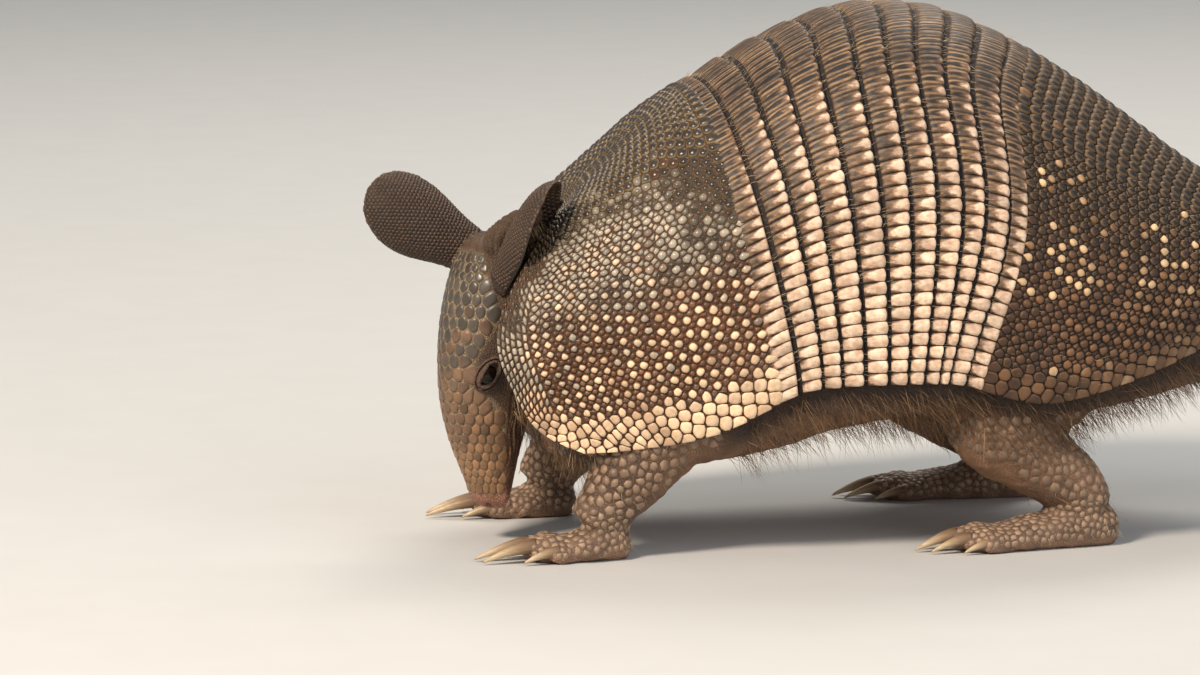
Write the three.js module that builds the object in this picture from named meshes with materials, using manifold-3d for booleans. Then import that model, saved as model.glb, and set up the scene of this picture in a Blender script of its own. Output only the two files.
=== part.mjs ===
// A nine-banded armadillo, life size, standing with its nose to the ground as it forages.
// Millimetres, +Z up, head towards -X. Y = 0 is the middle of the shell, and the soles are at Z = 0.
// While it is made, X = 0 lies below the nape. The finished group is shifted so that its box is centred.
import * as THREE from "three";
import { mergeVertices } from "three/addons/utils/BufferGeometryUtils.js";
import Module from "manifold-3d";

const wasm = await Module();
wasm.setup();

const { sin, cos, sqrt, abs, sign, min, max, PI } = Math;
const vec = (x, y, z) => new THREE.Vector3(x, y, z);

// ---- Driving dimensions ----

const GAP = 0.35; // clearance between pieces that touch
const FACET = 0.5; // what the flat facets of two curved pieces take from the clearance
const PLATE = 2.6; // thickness of the shell
const BANDS = 9;
const BAND_STEP = 0.9; // how far each band rises from its front edge to its rear one

// The shell at stations from the nape to the tail. Each station is a ring whose X is given at the
// ridge, a third and two thirds of the way round, and at the lower edge; its half width; the height of
// its ridge and its lower edge; and the belly's height under it.
const SHELL = {
  ridgeX: [-14, 3, 20, 36, 65, 95, 125, 153, 186, 219, 250, 279],
  shoulderX: [-30, -7, 16, 39.5, 63, 90.5, 114.5, 138.5, 170, 203, 237, 271],
  flankX: [-48, -15, 17, 48, 69, 93, 115, 135, 164, 196, 230, 264],
  edgeX: [-32, -2, 29, 58, 75, 93.5, 107, 118.5, 150, 186, 222, 258],
  width: [50, 62, 70, 75, 79, 81, 82, 82, 80, 71, 52, 26],
  ridgeZ: [126, 143, 159.5, 170, 185.5, 196, 195, 183.5, 163.3, 139.3, 117.7, 96],
  edgeZ: [38.5, 41, 47, 61, 64, 64.5, 64.5, 63.5, 56, 62.5, 73, 80],
  bellyZ: [35, 30, 30, 34, 40, 44, 46, 46, 45, 47, 52, 58],
};
const ARCH = (104 * PI) / 180; // angle from the ridge to the lower edge round the section
const SQUARE = 0.86; // under 1 the arch is fuller than an ellipse
const FIRST_BAND = 3; // station of the first band's front edge
const LAST_BAND = 7; // station of the last band's rear edge
const LAST = SHELL.ridgeX.length - 1;
const SHELL_GAP = 0.014; // in stations, the joint between neighbouring plates
const SHELL_FACETS = 20; // round the section
const TRUNK = {
  front: 0.16, // station of its front end
  rear: LAST - 0.2, // station of its rear end
  rim: 0.6, // share of its ring that follows the shell, the rest being the belly
  rump: 0.25, // extra depth per station over the sloping rump
  full: 0.8, // under 1 the belly is fuller than an ellipse
  chestX: -17, // how far forward the chest reaches between the flanks of the shell
};

// Body parts as tubes through centres, with half their width (across) and their reach above and below.
const NECK = {
  x: [12, -4, -20, -31, -40],
  y: [0, -1, -3, -4, -4],
  z: [86, 84, 82, 84, 90],
  across: [54, 52, 45, 33, 17],
  above: [39, 37, 32, 26, 16],
  below: [54, 52, 44, 32, 18],
};
const HEAD = {
  crown: vec(-37, -3, 112), // where the axis of the skull starts, between the ears
  yaw: (18 * PI) / 180, // the brow turned towards -Y
  lean: (2 * PI) / 180, // the nose ahead of straight down
  along: [-4, 2, 14, 30, 46, 60, 74, 85, 93, 97.5, 99.5],
  above: [7, 14, 19.5, 23, 24.2, 23.4, 19.6, 14.6, 10.8, 8.6, 6],
  below: [7, 14, 18, 19, 16.5, 12.5, 9, 6.6, 5, 3.8, 2.6],
  across: [8, 15, 19, 19.5, 17, 13.4, 10.4, 8.6, 7.4, 6.9, 5.6],
};
const EYE = { along: 48, up: 12, out: 12.6, radius: 4.1 };
const EAR = {
  length: 48,
  width: 14.5, // half of it, at its widest
  thick: 1.8,
  neck: 0.58, // width at the root, as a share of the widest
  widest: 0.62, // share of the length where it is widest
  curl: [1.8, 0.85], // half the angle that it curls through, at the root and at the tip
  sunk: 4, // how deep the root sits in the head
};
// Each ear: its root on the skull (along, up, out), the way it points and the way it opens.
const EARS = {
  right: { side: -1, root: [4, 9, 9], points: [-0.85, 0.1, 0.51], opens: [0.2, 0.9, -0.36] },
  left: { side: 1, root: [10, 7, 12], points: [0.35, -0.56, 0.75], opens: [0.8, -0.6, 0.1] },
};
const FORELEG = {
  x: [14, 14, 5, -6, -14],
  y: [-38, -45, -48, -49, -49],
  z: [72, 52, 36, 22, 11],
  across: [19, 18, 14.5, 11, 9.5],
  above: [23, 20, 16, 12, 9.5],
};
const HINDLEG = {
  x: [172, 150, 138, 150, 166, 172],
  y: [-42, -52, -56, -56, -56, -56],
  z: [92, 66, 48, 34, 22, 12],
  across: [26, 21, 16.5, 13, 11, 10],
  above: [36, 29, 21, 15, 11.5, 9.5],
};
// Each foot: where its ankle stands, its pad stations, and its toes as [reach, offset, half width, claw].
// Offsets run from the inner side to the outer one.
const FOREFOOT = {
  at: [-9, -49],
  turn: (4 * PI) / 180,
  pad: { x: [10, 3, -8, -17], half: [7.5, 10.5, 12, 11], high: [8, 10.5, 8.5, 6.5] },
  toes: [
    [25, -9, 3.6, 10],
    [31, -3.4, 4.6, 17],
    [30, 3.8, 4.6, 17],
    [23, 9.6, 3.7, 10],
  ],
};
const HINDFOOT = {
  at: [170, -56],
  turn: (6 * PI) / 180,
  pad: { x: [14, 5, -14, -34], half: [7.5, 10.5, 12, 13], high: [9, 12, 9.5, 7] },
  toes: [
    [43, -11, 3.3, 8],
    [50, -6, 4.1, 12],
    [53, 0, 4.4, 13],
    [50, 6, 4.1, 12],
    [43, 11.2, 3.4, 8],
  ],
};
const PAD = { lift: 0.62, above: 0.7, below: 0.8 }; // shares of the pad's height
// Shares of the toe's half width, apart from overlap in mm and gather, the share of the offset at the pad.
const TOE = { overlap: 4, gather: 0.75, lift: 1.1, swell: 0.12, taper: 0.3, under: 1.2 };
const CLAW = {
  sunk: 4, // how deep its root sits in the toe
  root: 0.62, // share of the toe's half width
  rootHeight: 1.25, // share of the toe's half width
  taper: 0.75,
  bend: 1.7,
  tip: 0.35,
  tipZ: 0.95,
  clear: 0.3, // clearance over the floor
};
const TAIL = {
  x: [258, 292, 328, 366, 408, 452, 500, 548, 588],
  y: [0, 0, -2, -6, -12, -18, -21, -18, -10],
  z: [78, 64, 46, 28, 15, 9.4, 6.4, 4.3, 2.5],
  thick: [22, 20, 17.5, 15, 12.4, 9.8, 7, 4.8, 2.6],
  rings: 12, // bony rings on the first part of the tail
  ringed: 5.2, // station where the rings end
  joint: 0.008, // in stations, the gap between rings
  flare: 0.03, // share by which a ring is thinner in front and thicker behind
  lengths: 3, // how many lengths of rings it is parted into
};

// ---- Geometry helpers ----

// Uniform Catmull-Rom through equally spaced values, t from 0 to values.length - 1.
function along(values, t) {
  const i = max(0, min(Math.floor(t), values.length - 2));
  const f = t - i;
  const [a, b, c, d] = [-1, 0, 1, 2].map((k) => values[max(0, min(i + k, values.length - 1))]);
  return b + 0.5 * f * (c - a + f * (2 * a - 5 * b + 4 * c - d + f * (3 * (b - c) + d - a)));
}

function evenly(from, to, steps) {
  return Array.from({ length: steps + 1 }, (_, i) => from + ((to - from) * i) / steps);
}

function signedVolume(geometry) {
  const position = geometry.getAttribute("position");
  const index = geometry.index.array;
  const corners = [vec(0, 0, 0), vec(0, 0, 0), vec(0, 0, 0)];
  let volume = 0;
  for (let i = 0; i < index.length; i += 3) {
    corners.forEach((corner, k) => corner.fromBufferAttribute(position, index[i + k]));
    volume += corners[0].dot(corners[1].clone().cross(corners[2])) / 6;
  }
  return volume;
}

// A closed three.js shape whose every vertex is moved to place(vertex), its faces pointing out.
function mapped(geometry, place) {
  geometry.deleteAttribute("normal");
  geometry.deleteAttribute("uv");
  const merged = mergeVertices(geometry, 1e-4);
  const position = merged.getAttribute("position");
  for (let i = 0; i < position.count; i++) {
    const to = place(vec(0, 0, 0).fromBufferAttribute(position, i));
    position.setXYZ(i, to.x, to.y, to.z);
  }
  if (signedVolume(merged) < 0) {
    const index = merged.index.array;
    for (let i = 0; i < index.length; i += 3) [index[i + 1], index[i + 2]] = [index[i + 2], index[i + 1]];
  }
  return merged;
}

function solid(geometry) {
  return new wasm.Manifold(
    new wasm.Mesh({
      numProp: 3,
      vertProperties: new Float32Array(geometry.getAttribute("position").array),
      triVerts: new Uint32Array(geometry.index.array),
    }),
  );
}

function geometryOf(manifold) {
  const mesh = manifold.getMesh();
  return new THREE.BufferGeometry()
    .setAttribute("position", new THREE.BufferAttribute(mesh.vertProperties, 3))
    .setIndex(new THREE.BufferAttribute(mesh.triVerts, 1));
}

// The largest body of a solid: a cut can leave slivers beside it.
function largest(manifold) {
  return manifold.decompose().sort((a, b) => b.volume() - a.volume())[0];
}

// A closed tube. For each level t, shape(t) gives its centre, its side and up vectors and its reaches.
function tube(shape, levels, sides) {
  const steps = levels.length - 1;
  return mapped(new THREE.CylinderGeometry(1, 1, 1, sides, steps), (p) => {
    const { centre, side, up, across, above, below } = shape(levels[Math.round((p.y + 0.5) * steps)]);
    return centre
      .clone()
      .addScaledVector(side, p.x * across)
      .addScaledVector(up, p.z * (p.z > 0 ? above : below));
  });
}

// The shape of a limb-like tube whose ring planes are square to its centre line.
function limbShape(limb, mirror, grow) {
  const centreAt = (t) => vec(along(limb.x, t), along(limb.y, t) * mirror, along(limb.z, t));
  const last = limb.x.length - 1;
  return (t) => {
    const forward = centreAt(min(t + 0.02, last)).sub(centreAt(max(t - 0.02, 0))).normalize();
    const side = vec(0, 1, 0).cross(forward).length() > 0.3 ? vec(0, 1, 0) : vec(0, 0, 1);
    side.addScaledVector(forward, -side.dot(forward)).normalize();
    const up = forward.clone().cross(side);
    const above = along(limb.above, t) + grow;
    return { centre: centreAt(t), side, up, across: along(limb.across, t) + grow, above, below: above };
  };
}

// ---- The shell ----

// A point of the shell: station u, and v from -1 to 1 round the section, lowered by depth under its surface.
function shellPoint(u, v, depth = 0) {
  const angle = abs(v) * ARCH;
  const drop = (1 - cos(angle)) / (1 - cos(ARCH));
  const ridgeZ = along(SHELL.ridgeZ, u) - depth;
  const wide = along(SHELL.width, u) - depth;
  const [ridge, shoulder, flank, edge] = [SHELL.ridgeX, SHELL.shoulderX, SHELL.flankX, SHELL.edgeX].map(
    (xs) => along(xs, u),
  );
  return vec(
    along([shoulder, ridge, shoulder, flank, edge], 1 + 3 * abs(v)),
    sign(v) * wide * abs(sin(angle)) ** SQUARE,
    ridgeZ + (along(SHELL.edgeZ, u) - ridgeZ) * drop,
  );
}

// A plate of the shell through the stations in levels, its surface raised by rise(share of its length).
function shellPlate(levels, rise = () => 0, under = PLATE, reach = 1) {
  const steps = levels.length - 1;
  const box = new THREE.BoxGeometry(1, 1, 1, steps, SHELL_FACETS, 1);
  return mapped(box, (p) => {
    const share = p.x + 0.5;
    return shellPoint(levels[Math.round(share * steps)], p.y * 2 * reach, p.z > 0 ? -rise(share) : under);
  });
}

const bandStation = (i) => FIRST_BAND + ((LAST_BAND - FIRST_BAND) * i) / BANDS;

// The stations of the trunk's rings: where the shields have theirs, and one per station under the bands.
const TRUNK_LEVELS = [
  ...evenly(0.5, FIRST_BAND, 5),
  ...evenly(FIRST_BAND + 1, LAST_BAND, LAST_BAND - FIRST_BAND - 1),
  ...evenly(LAST_BAND + 0.5, LAST - 0.5, 2 * (LAST - LAST_BAND) - 2),
];

// ---- The trunk, head and limbs ----

// The trunk follows the inside of the shell and closes it below with the belly.
function trunk(grow) {
  const levels = [TRUNK.front - grow * 0.06, ...TRUNK_LEVELS, TRUNK.rear + grow * 0.02];
  return mapped(new THREE.CylinderGeometry(1, 1, 1, 20, levels.length - 1), (p) => {
    const u = levels[Math.round((p.y + 0.5) * (levels.length - 1))];
    const depth = PLATE + GAP + FACET + max(0, u - LAST_BAND) * TRUNK.rump - grow;
    const bellyZ = along(SHELL.bellyZ, u) - grow;
    if (p.x * p.x + p.z * p.z < 0.5) {
      const ridgeZ = shellPoint(u, 0, depth).z;
      return vec(u < 1 ? TRUNK.chestX - 2 * grow : along(SHELL.shoulderX, u), 0, (ridgeZ + bellyZ) / 2);
    }
    const turn = Math.atan2(p.x, p.z) / PI; // -1 to 1, 0 at the ridge
    if (abs(turn) <= TRUNK.rim) return shellPoint(u, turn / TRUNK.rim, depth);
    const edge = shellPoint(u, sign(turn), depth);
    const under = ((abs(turn) - TRUNK.rim) / (1 - TRUNK.rim)) * (PI / 2);
    const deep = (edge.z - bellyZ) * sin(under) ** TRUNK.full;
    return vec(edge.x, edge.y * cos(under) ** TRUNK.full, edge.z - deep);
  });
}

const neckShape = (grow) => (t) => ({
  centre: vec(along(NECK.x, t), along(NECK.y, t), along(NECK.z, t)),
  side: vec(0, 1, 0),
  up: vec(0, 0, 1),
  across: along(NECK.across, t) + grow,
  above: along(NECK.above, t) + grow,
  below: along(NECK.below, t) + grow,
});

// The head's own directions: along the snout, up through the brow, and out to its left.
const FACING = vec(-cos(HEAD.yaw), -sin(HEAD.yaw), 0);
const DOWN = vec(0, 0, -1);
const SNOUT = DOWN.clone().multiplyScalar(cos(HEAD.lean)).addScaledVector(FACING, sin(HEAD.lean));
const BROW = FACING.clone().multiplyScalar(cos(HEAD.lean)).addScaledVector(DOWN, -sin(HEAD.lean));
const LEFT = BROW.clone().cross(SNOUT);

function onHead(distance, up, out) {
  return HEAD.crown
    .clone()
    .addScaledVector(SNOUT, distance)
    .addScaledVector(BROW, up)
    .addScaledVector(LEFT, out);
}

const headShape = (grow) => (t) => ({
  centre: onHead(along(HEAD.along, t), 0, 0),
  side: LEFT,
  up: BROW,
  across: along(HEAD.across, t) + grow,
  above: along(HEAD.above, t) + grow,
  below: along(HEAD.below, t) + grow,
});

function eye(side, grow) {
  const at = onHead(EYE.along, EYE.up, side * EYE.out);
  return mapped(new THREE.SphereGeometry(EYE.radius + grow, 8, 6), (p) => p.add(at));
}

// Half the ear's width at share s of its length, as a share of the widest.
function earLeaf(s) {
  const tipWidth = 0.17;
  if (s < EAR.widest) return EAR.neck + (1 - EAR.neck) * sin((s / EAR.widest) * (PI / 2)) ** 2.2;
  return sqrt(1 - (1 - tipWidth ** 2) * ((s - EAR.widest) / (1 - EAR.widest)) ** 2);
}

// An ear: a leaf curled round its length, nearly a tube at its root and flatter towards its tip.
function ear({ side, root, points, opens }) {
  const tip = vec(...points).normalize();
  const mouth = vec(...opens);
  mouth.addScaledVector(tip, -mouth.dot(tip)).normalize();
  const across = tip.clone().cross(mouth).multiplyScalar(side);
  const base = onHead(root[0], root[1], root[2] * side);
  const rootCentre = 0.6; // how far the root's bend is shifted to centre it, as a share of its radius
  return mapped(new THREE.BoxGeometry(1, 1, 1, 6, 8, 1), (p) => {
    const s = p.y + 0.5;
    const half = EAR.width * earLeaf(s);
    const curl = EAR.curl[0] + (EAR.curl[1] - EAR.curl[0]) * s;
    const bend = half / sin(min(curl, PI / 2));
    const radius = bend - p.z * EAR.thick;
    const turn = p.x * 2 * curl;
    return base
      .clone()
      .addScaledVector(tip, EAR.length * s - EAR.sunk)
      .addScaledVector(across, radius * sin(turn))
      .addScaledVector(mouth, bend * rootCentre - radius * cos(turn));
  });
}

const legSolid = (leg, mirror, steps) =>
  solid(tube(limbShape(leg, mirror, 0), evenly(0, leg.x.length - 1, steps), 10));

// Foot coordinates: reach forward of the ankle, offset outwards, height.
function onFoot(foot, mirror, reach, offset, height) {
  const c = cos(foot.turn);
  const s = sin(foot.turn);
  return vec(foot.at[0] - reach * c + offset * s, mirror * (foot.at[1] - offset * c - reach * s), height);
}

// A level section of a foot, with its ring upright.
function footRing(centre, across, above, below) {
  return { centre, side: vec(0, 1, 0), up: vec(0, 0, 1), across, above, below };
}

// A toe spreads from the pad, swells at its middle and narrows to the claw.
function toe(foot, mirror, [reach, offset, half], grow) {
  const start = -foot.pad.x.at(-1) - TOE.overlap;
  const shape = (t) => {
    const out = offset * (TOE.gather + (1 - TOE.gather) * t);
    const centre = onFoot(foot, mirror, start + (reach - start) * t, out, half * TOE.lift);
    const radius = half * (1 + TOE.swell * sin(PI * t) - TOE.taper * t ** 4) + grow;
    return footRing(centre, radius, radius, radius * TOE.under);
  };
  return solid(tube(shape, evenly(0, 1, 2), 6));
}

function footPad(foot, mirror, grow) {
  const { x, half, high } = foot.pad;
  const shape = (t) => {
    const tall = along(high, t);
    const centre = onFoot(foot, mirror, -along(x, t), 0, tall * PAD.lift);
    return footRing(centre, along(half, t) + grow, tall * PAD.above + grow, tall * PAD.below);
  };
  return solid(tube(shape, evenly(0, x.length - 1, 4), 12));
}

const floorBlock = solid(mapped(new THREE.BoxGeometry(1600, 800, 200), (p) => p.setZ(p.z - 100)));

function footSolid(foot, mirror, grow) {
  return foot.toes.reduce((made, one) => made.add(toe(foot, mirror, one, grow)), footPad(foot, mirror, grow));
}

// A claw: a cone bent down along its length, its tip just clear of the floor.
function claw(foot, mirror, [reach, offset, half, length]) {
  const rootZ = half * CLAW.rootHeight;
  const start = reach - CLAW.sunk;
  const shape = (t) => {
    const z = rootZ - (rootZ - CLAW.tipZ) * t ** CLAW.bend;
    const radius = half * CLAW.root * (1 - t) ** CLAW.taper + CLAW.tip;
    const centre = onFoot(foot, mirror, start + (reach + length - start) * t, offset, z);
    return footRing(centre, radius, radius, min(radius, z - CLAW.clear));
  };
  return solid(tube(shape, evenly(0, 1, 3), 5));
}

const ringAt = (ring) => (TAIL.ringed * ring) / TAIL.rings; // station where a ring starts

// A length of the tail through levels. A bony ring swells from its front edge to its rear one.
function tailLength(levels, swell) {
  const bare = limbShape({ ...TAIL, across: TAIL.thick, above: TAIL.thick }, 1, 0);
  const shape = (t) => {
    const radius = along(TAIL.thick, t) * (1 + (swell.get(t) ?? 0));
    return { ...bare(t), across: radius, above: radius, below: radius };
  };
  return solid(tube(shape, levels, 10)).subtract(floorBlock);
}

function ringedLength(first, last) {
  const swell = new Map();
  for (let ring = first; ring < last; ring++) {
    swell.set(ringAt(ring), -TAIL.flare);
    swell.set(ringAt(ring + 1) - TAIL.joint, TAIL.flare);
  }
  return tailLength([...swell.keys()], swell);
}

// ---- Assembly ----

const COLOURS = {
  plate: [0x6e5a4a, 0.55],
  flesh: [0x8a6f5c, 0.7],
  ear: [0x4c3c32, 0.7],
  eye: [0x120d0b, 0.15],
  claw: [0xc9b08c, 0.45],
};
const animal = new THREE.Group();
function place(name, geometry, material) {
  const [color, roughness] = COLOURS[material];
  const mesh = new THREE.Mesh(geometry, new THREE.MeshStandardMaterial({ color, roughness, metalness: 0 }));
  mesh.name = name;
  animal.add(mesh);
}

// The shell: two shields and nine bands, each band raised towards its rear edge.
place("scapular_shield", shellPlate([...evenly(0, 2.5, 5), FIRST_BAND - SHELL_GAP]), "plate");
for (let i = 0; i < BANDS; i++) {
  const ends = [bandStation(i) + SHELL_GAP, bandStation(i + 1) - SHELL_GAP];
  place("band_" + (i + 1), shellPlate(ends, (share) => share * BAND_STEP - BAND_STEP / 3), "plate");
}
place("pelvic_shield", shellPlate([LAST_BAND + SHELL_GAP, ...evenly(LAST_BAND + 0.5, LAST, 7)]), "plate");

const shellRoom = shellPlate(evenly(-0.03, LAST + 0.03, 22), () => 1 + GAP, PLATE + GAP + FACET / 2, 1.008);
const bodyRoom = solid(trunk(GAP)).add(solid(shellRoom));
const headLevels = evenly(0, HEAD.along.length - 1, 12);
const headRoom = solid(tube(headShape(GAP), headLevels, 16));
const neckLevels = evenly(0, NECK.x.length - 1, 5);
const neckRoom = solid(tube(neckShape(GAP), neckLevels, 14));

place("trunk", geometryOf(largest(solid(trunk(0)).subtract(headRoom))), "flesh");
const neck = solid(tube(neckShape(0), neckLevels, 14)).subtract(bodyRoom).subtract(headRoom);
place("neck", geometryOf(largest(neck)), "flesh");

let head = solid(tube(headShape(0), headLevels, 16));
for (const [name, spec] of Object.entries(EARS)) {
  const whole = solid(ear(spec)).subtract(headRoom).subtract(bodyRoom).subtract(neckRoom);
  place("ear_" + name, geometryOf(largest(whole)), "ear");
  head = head.subtract(solid(eye(spec.side, GAP)));
  place("eye_" + name, eye(spec.side, 0), "eye");
}
place("head", geometryOf(largest(head)), "flesh");

const LIMBS = [
  ["fore", FORELEG, FOREFOOT, 5],
  ["hind", HINDLEG, HINDFOOT, 7],
];
for (const [end, leg, foot, steps] of LIMBS) {
  for (const [sideName, mirror] of [["left", 1], ["right", -1]]) {
    const wholeFoot = footSolid(foot, mirror, 0).subtract(floorBlock);
    const footRoom = footSolid(foot, mirror, GAP);
    const upper = legSolid(leg, mirror, steps).subtract(bodyRoom).subtract(footRoom).subtract(floorBlock);
    place(end + "leg_" + sideName, geometryOf(largest(upper)), "flesh");
    place(end + "foot_" + sideName, geometryOf(largest(wholeFoot)), "flesh");
    foot.toes.forEach((one, i) => {
      const made = largest(claw(foot, mirror, one).subtract(footRoom));
      place([end, sideName, "claw", i + 1].join("_"), geometryOf(made), "claw");
    });
  }
}

// The tail: lengths of bony rings, and the bare tip.
const ringsEach = TAIL.rings / TAIL.lengths;
for (let i = 0; i < TAIL.lengths; i++) {
  const rings = ringedLength(i * ringsEach, (i + 1) * ringsEach);
  place("tail_" + (i + 1), geometryOf(largest(i ? rings : rings.subtract(bodyRoom))), "flesh");
}
place("tail_tip", geometryOf(tailLength(evenly(TAIL.ringed, TAIL.x.length - 1, 7), new Map())), "flesh");

// The origin is the middle of the box, on the floor.
const middle = new THREE.Box3().setFromObject(animal).getCenter(vec(0, 0, 0));
animal.position.set(-middle.x, -middle.y, 0);

export default animal;
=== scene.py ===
import math

import bmesh
import bpy
import numpy as np
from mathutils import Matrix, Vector
from mathutils.bvhtree import BVHTree


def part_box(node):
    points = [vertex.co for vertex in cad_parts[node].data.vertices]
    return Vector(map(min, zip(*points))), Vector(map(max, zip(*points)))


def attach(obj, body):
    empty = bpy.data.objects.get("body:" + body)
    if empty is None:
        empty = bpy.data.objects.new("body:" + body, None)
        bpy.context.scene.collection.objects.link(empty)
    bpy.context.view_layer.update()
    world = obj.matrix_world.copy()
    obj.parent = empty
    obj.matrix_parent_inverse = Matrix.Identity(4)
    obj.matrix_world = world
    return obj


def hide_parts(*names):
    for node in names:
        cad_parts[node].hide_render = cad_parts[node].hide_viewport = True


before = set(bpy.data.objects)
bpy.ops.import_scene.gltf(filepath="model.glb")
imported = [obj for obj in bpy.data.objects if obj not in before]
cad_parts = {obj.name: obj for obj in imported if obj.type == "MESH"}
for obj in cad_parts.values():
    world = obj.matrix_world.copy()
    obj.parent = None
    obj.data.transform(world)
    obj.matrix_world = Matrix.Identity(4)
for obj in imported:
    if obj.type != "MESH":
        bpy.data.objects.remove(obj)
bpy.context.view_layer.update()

# A nine-banded armadillo, life size. Lengths are in millimetres in the solids' own making frame, X towards
# the tail and Y towards the animal's right, and become metres in the part's frame when a piece is finished.
rng = np.random.default_rng(20)

# ---- The animal's forms, the same as in its solids ----

SHELL = {
    "ridge_x": [-14, 3, 20, 36, 65, 95, 125, 153, 186, 219, 250, 279],
    "shoulder_x": [-30, -7, 16, 39.5, 63, 90.5, 114.5, 138.5, 170, 203, 237, 271],
    "flank_x": [-48, -15, 17, 48, 69, 93, 115, 135, 164, 196, 230, 264],
    "edge_x": [-32, -2, 29, 58, 75, 93.5, 107, 118.5, 150, 186, 222, 258],
    "width": [50, 62, 70, 75, 79, 81, 82, 82, 80, 71, 52, 26],
    "ridge_z": [126, 143, 159.5, 170, 185.5, 196, 195, 183.5, 163.3, 139.3, 117.7, 96],
    "edge_z": [38.5, 41, 47, 61, 64, 64.5, 64.5, 63.5, 56, 62.5, 73, 80],
    "belly_z": [35, 30, 30, 34, 40, 44, 46, 46, 45, 47, 52, 58],
}
ARCH = math.radians(104)
SQUARE = 0.86
BANDS, FIRST_BAND, LAST_BAND, LAST = 9, 3, 7, 11
PLATE = 2.6
NECK = {
    "x": [12, -4, -20, -31, -40],
    "y": [0, -1, -3, -4, -4],
    "z": [86, 84, 82, 84, 90],
    "across": [54, 52, 45, 33, 17],
    "above": [39, 37, 32, 26, 16],
    "below": [54, 52, 44, 32, 18],
}
HEAD = {
    "along": [-4, 2, 14, 30, 46, 60, 74, 85, 93, 97.5, 99.5],
    "above": [7, 14, 19.5, 23, 24.2, 23.4, 19.6, 14.6, 10.8, 8.6, 6],
    "below": [7, 14, 18, 19, 16.5, 12.5, 9, 6.6, 5, 3.8, 2.6],
    "across": [8, 15, 19, 19.5, 17, 13.4, 10.4, 8.6, 7.4, 6.9, 5.6],
}
CROWN = np.array([-37.0, -3.0, 112.0])
YAW, LEAN = math.radians(18), math.radians(2)
HEAD_SHIELD_EDGE = [0, 16, 28, 42, 54, 64, 90], [30, 48, 58, 38, 42, 76, 82]  # degrees round, by distance along
EYE = {"along": 48, "up": 12, "out": 12.6, "radius": 4.1}
EAR = {"length": 48, "width": 14.5, "thick": 1.8, "neck": 0.58, "widest": 0.62, "sunk": 4}
EARS = {
    "right": {"side": -1, "root": (4, 9, 9), "points": (-0.85, 0.1, 0.51), "opens": (0.2, 0.9, -0.36)},
    "left": {"side": 1, "root": (10, 7, 12), "points": (0.35, -0.56, 0.75), "opens": (0.8, -0.6, 0.1)},
}
FORELEG = {
    "x": [14, 14, 5, -6, -14],
    "y": [-38, -45, -48, -49, -49],
    "z": [72, 52, 36, 22, 11],
    "across": [19, 18, 14.5, 11, 9.5],
    "above": [23, 20, 16, 12, 9.5],
}
HINDLEG = {
    "x": [172, 150, 138, 150, 166, 172],
    "y": [-42, -52, -56, -56, -56, -56],
    "z": [92, 66, 48, 34, 22, 12],
    "across": [26, 21, 16.5, 13, 11, 10],
    "above": [36, 29, 21, 15, 11.5, 9.5],
}
FOREFOOT = {
    "at": (-9, -49), "turn": math.radians(4),
    "x": [10, 3, -8, -17], "half": [7.5, 10.5, 12, 11], "high": [8, 10.5, 8.5, 6.5],
    "toes": [(25, -9, 3.6, 10), (31, -3.4, 4.6, 17), (30, 3.8, 4.6, 17), (23, 9.6, 3.7, 10)],
}
HINDFOOT = {
    "at": (170, -56), "turn": math.radians(6),
    "x": [14, 5, -14, -34], "half": [7.5, 10.5, 12, 13], "high": [9, 12, 9.5, 7],
    "toes": [(43, -11, 3.3, 8), (50, -6, 4.1, 12), (53, 0, 4.4, 13), (50, 6, 4.1, 12), (43, 11.2, 3.4, 8)],
}
TAIL = {
    "x": [258, 292, 328, 366, 408, 452, 500, 548, 588],
    "y": [0, 0, -2, -6, -12, -18, -21, -18, -10],
    "z": [78, 64, 46, 28, 15, 9.4, 6.4, 4.3, 2.5],
    "across": [22, 20, 17.5, 15, 12.4, 9.8, 7, 4.8, 2.6],
}
TAIL["above"] = TAIL["across"]
TAIL_RINGS, RINGED = 12, 5.2


def unit(v):
    return v / np.maximum(np.linalg.norm(v, axis=-1, keepdims=True), 1e-9)


def along(values, t):
    """Catmull-Rom through equally spaced values; a 2-D list gives each t its own column of values."""
    values, t = np.asarray(values, float), np.asarray(t, float)
    last = len(values) - 1
    i = np.clip(np.floor(t).astype(int), 0, last - 1)
    f = t - i
    near = [np.clip(i + k, 0, last) for k in (-1, 0, 1, 2)]
    if values.ndim == 1:
        a, b, c, d = (values[k] for k in near)
    else:
        a, b, c, d = (np.take_along_axis(values, k[None], 0)[0] for k in near)
    return b + 0.5 * f * (c - a + f * (2 * a - 5 * b + 4 * c - d + f * (3 * (b - c) + d - a)))


def ease(low, high, x):
    """0 below low, 1 above high, and smooth between them."""
    s = np.clip((np.asarray(x, float) - low) / (high - low), 0, 1)
    return s * s * (3 - 2 * s)


WAVES = 14  # sine waves in a ripple


def ripple(p, wave, seed):
    """A smooth random field over points, about -1 to 1, whose features are wave long."""
    draw = np.random.default_rng(seed)
    ways = unit(draw.normal(size=(WAVES, 3))) * (2 * math.pi / wave) * draw.uniform(0.7, 1.4, (WAVES, 1))
    return np.sin(p @ ways.T + draw.uniform(0, 2 * math.pi, WAVES)).sum(-1) / math.sqrt(WAVES)


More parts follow.
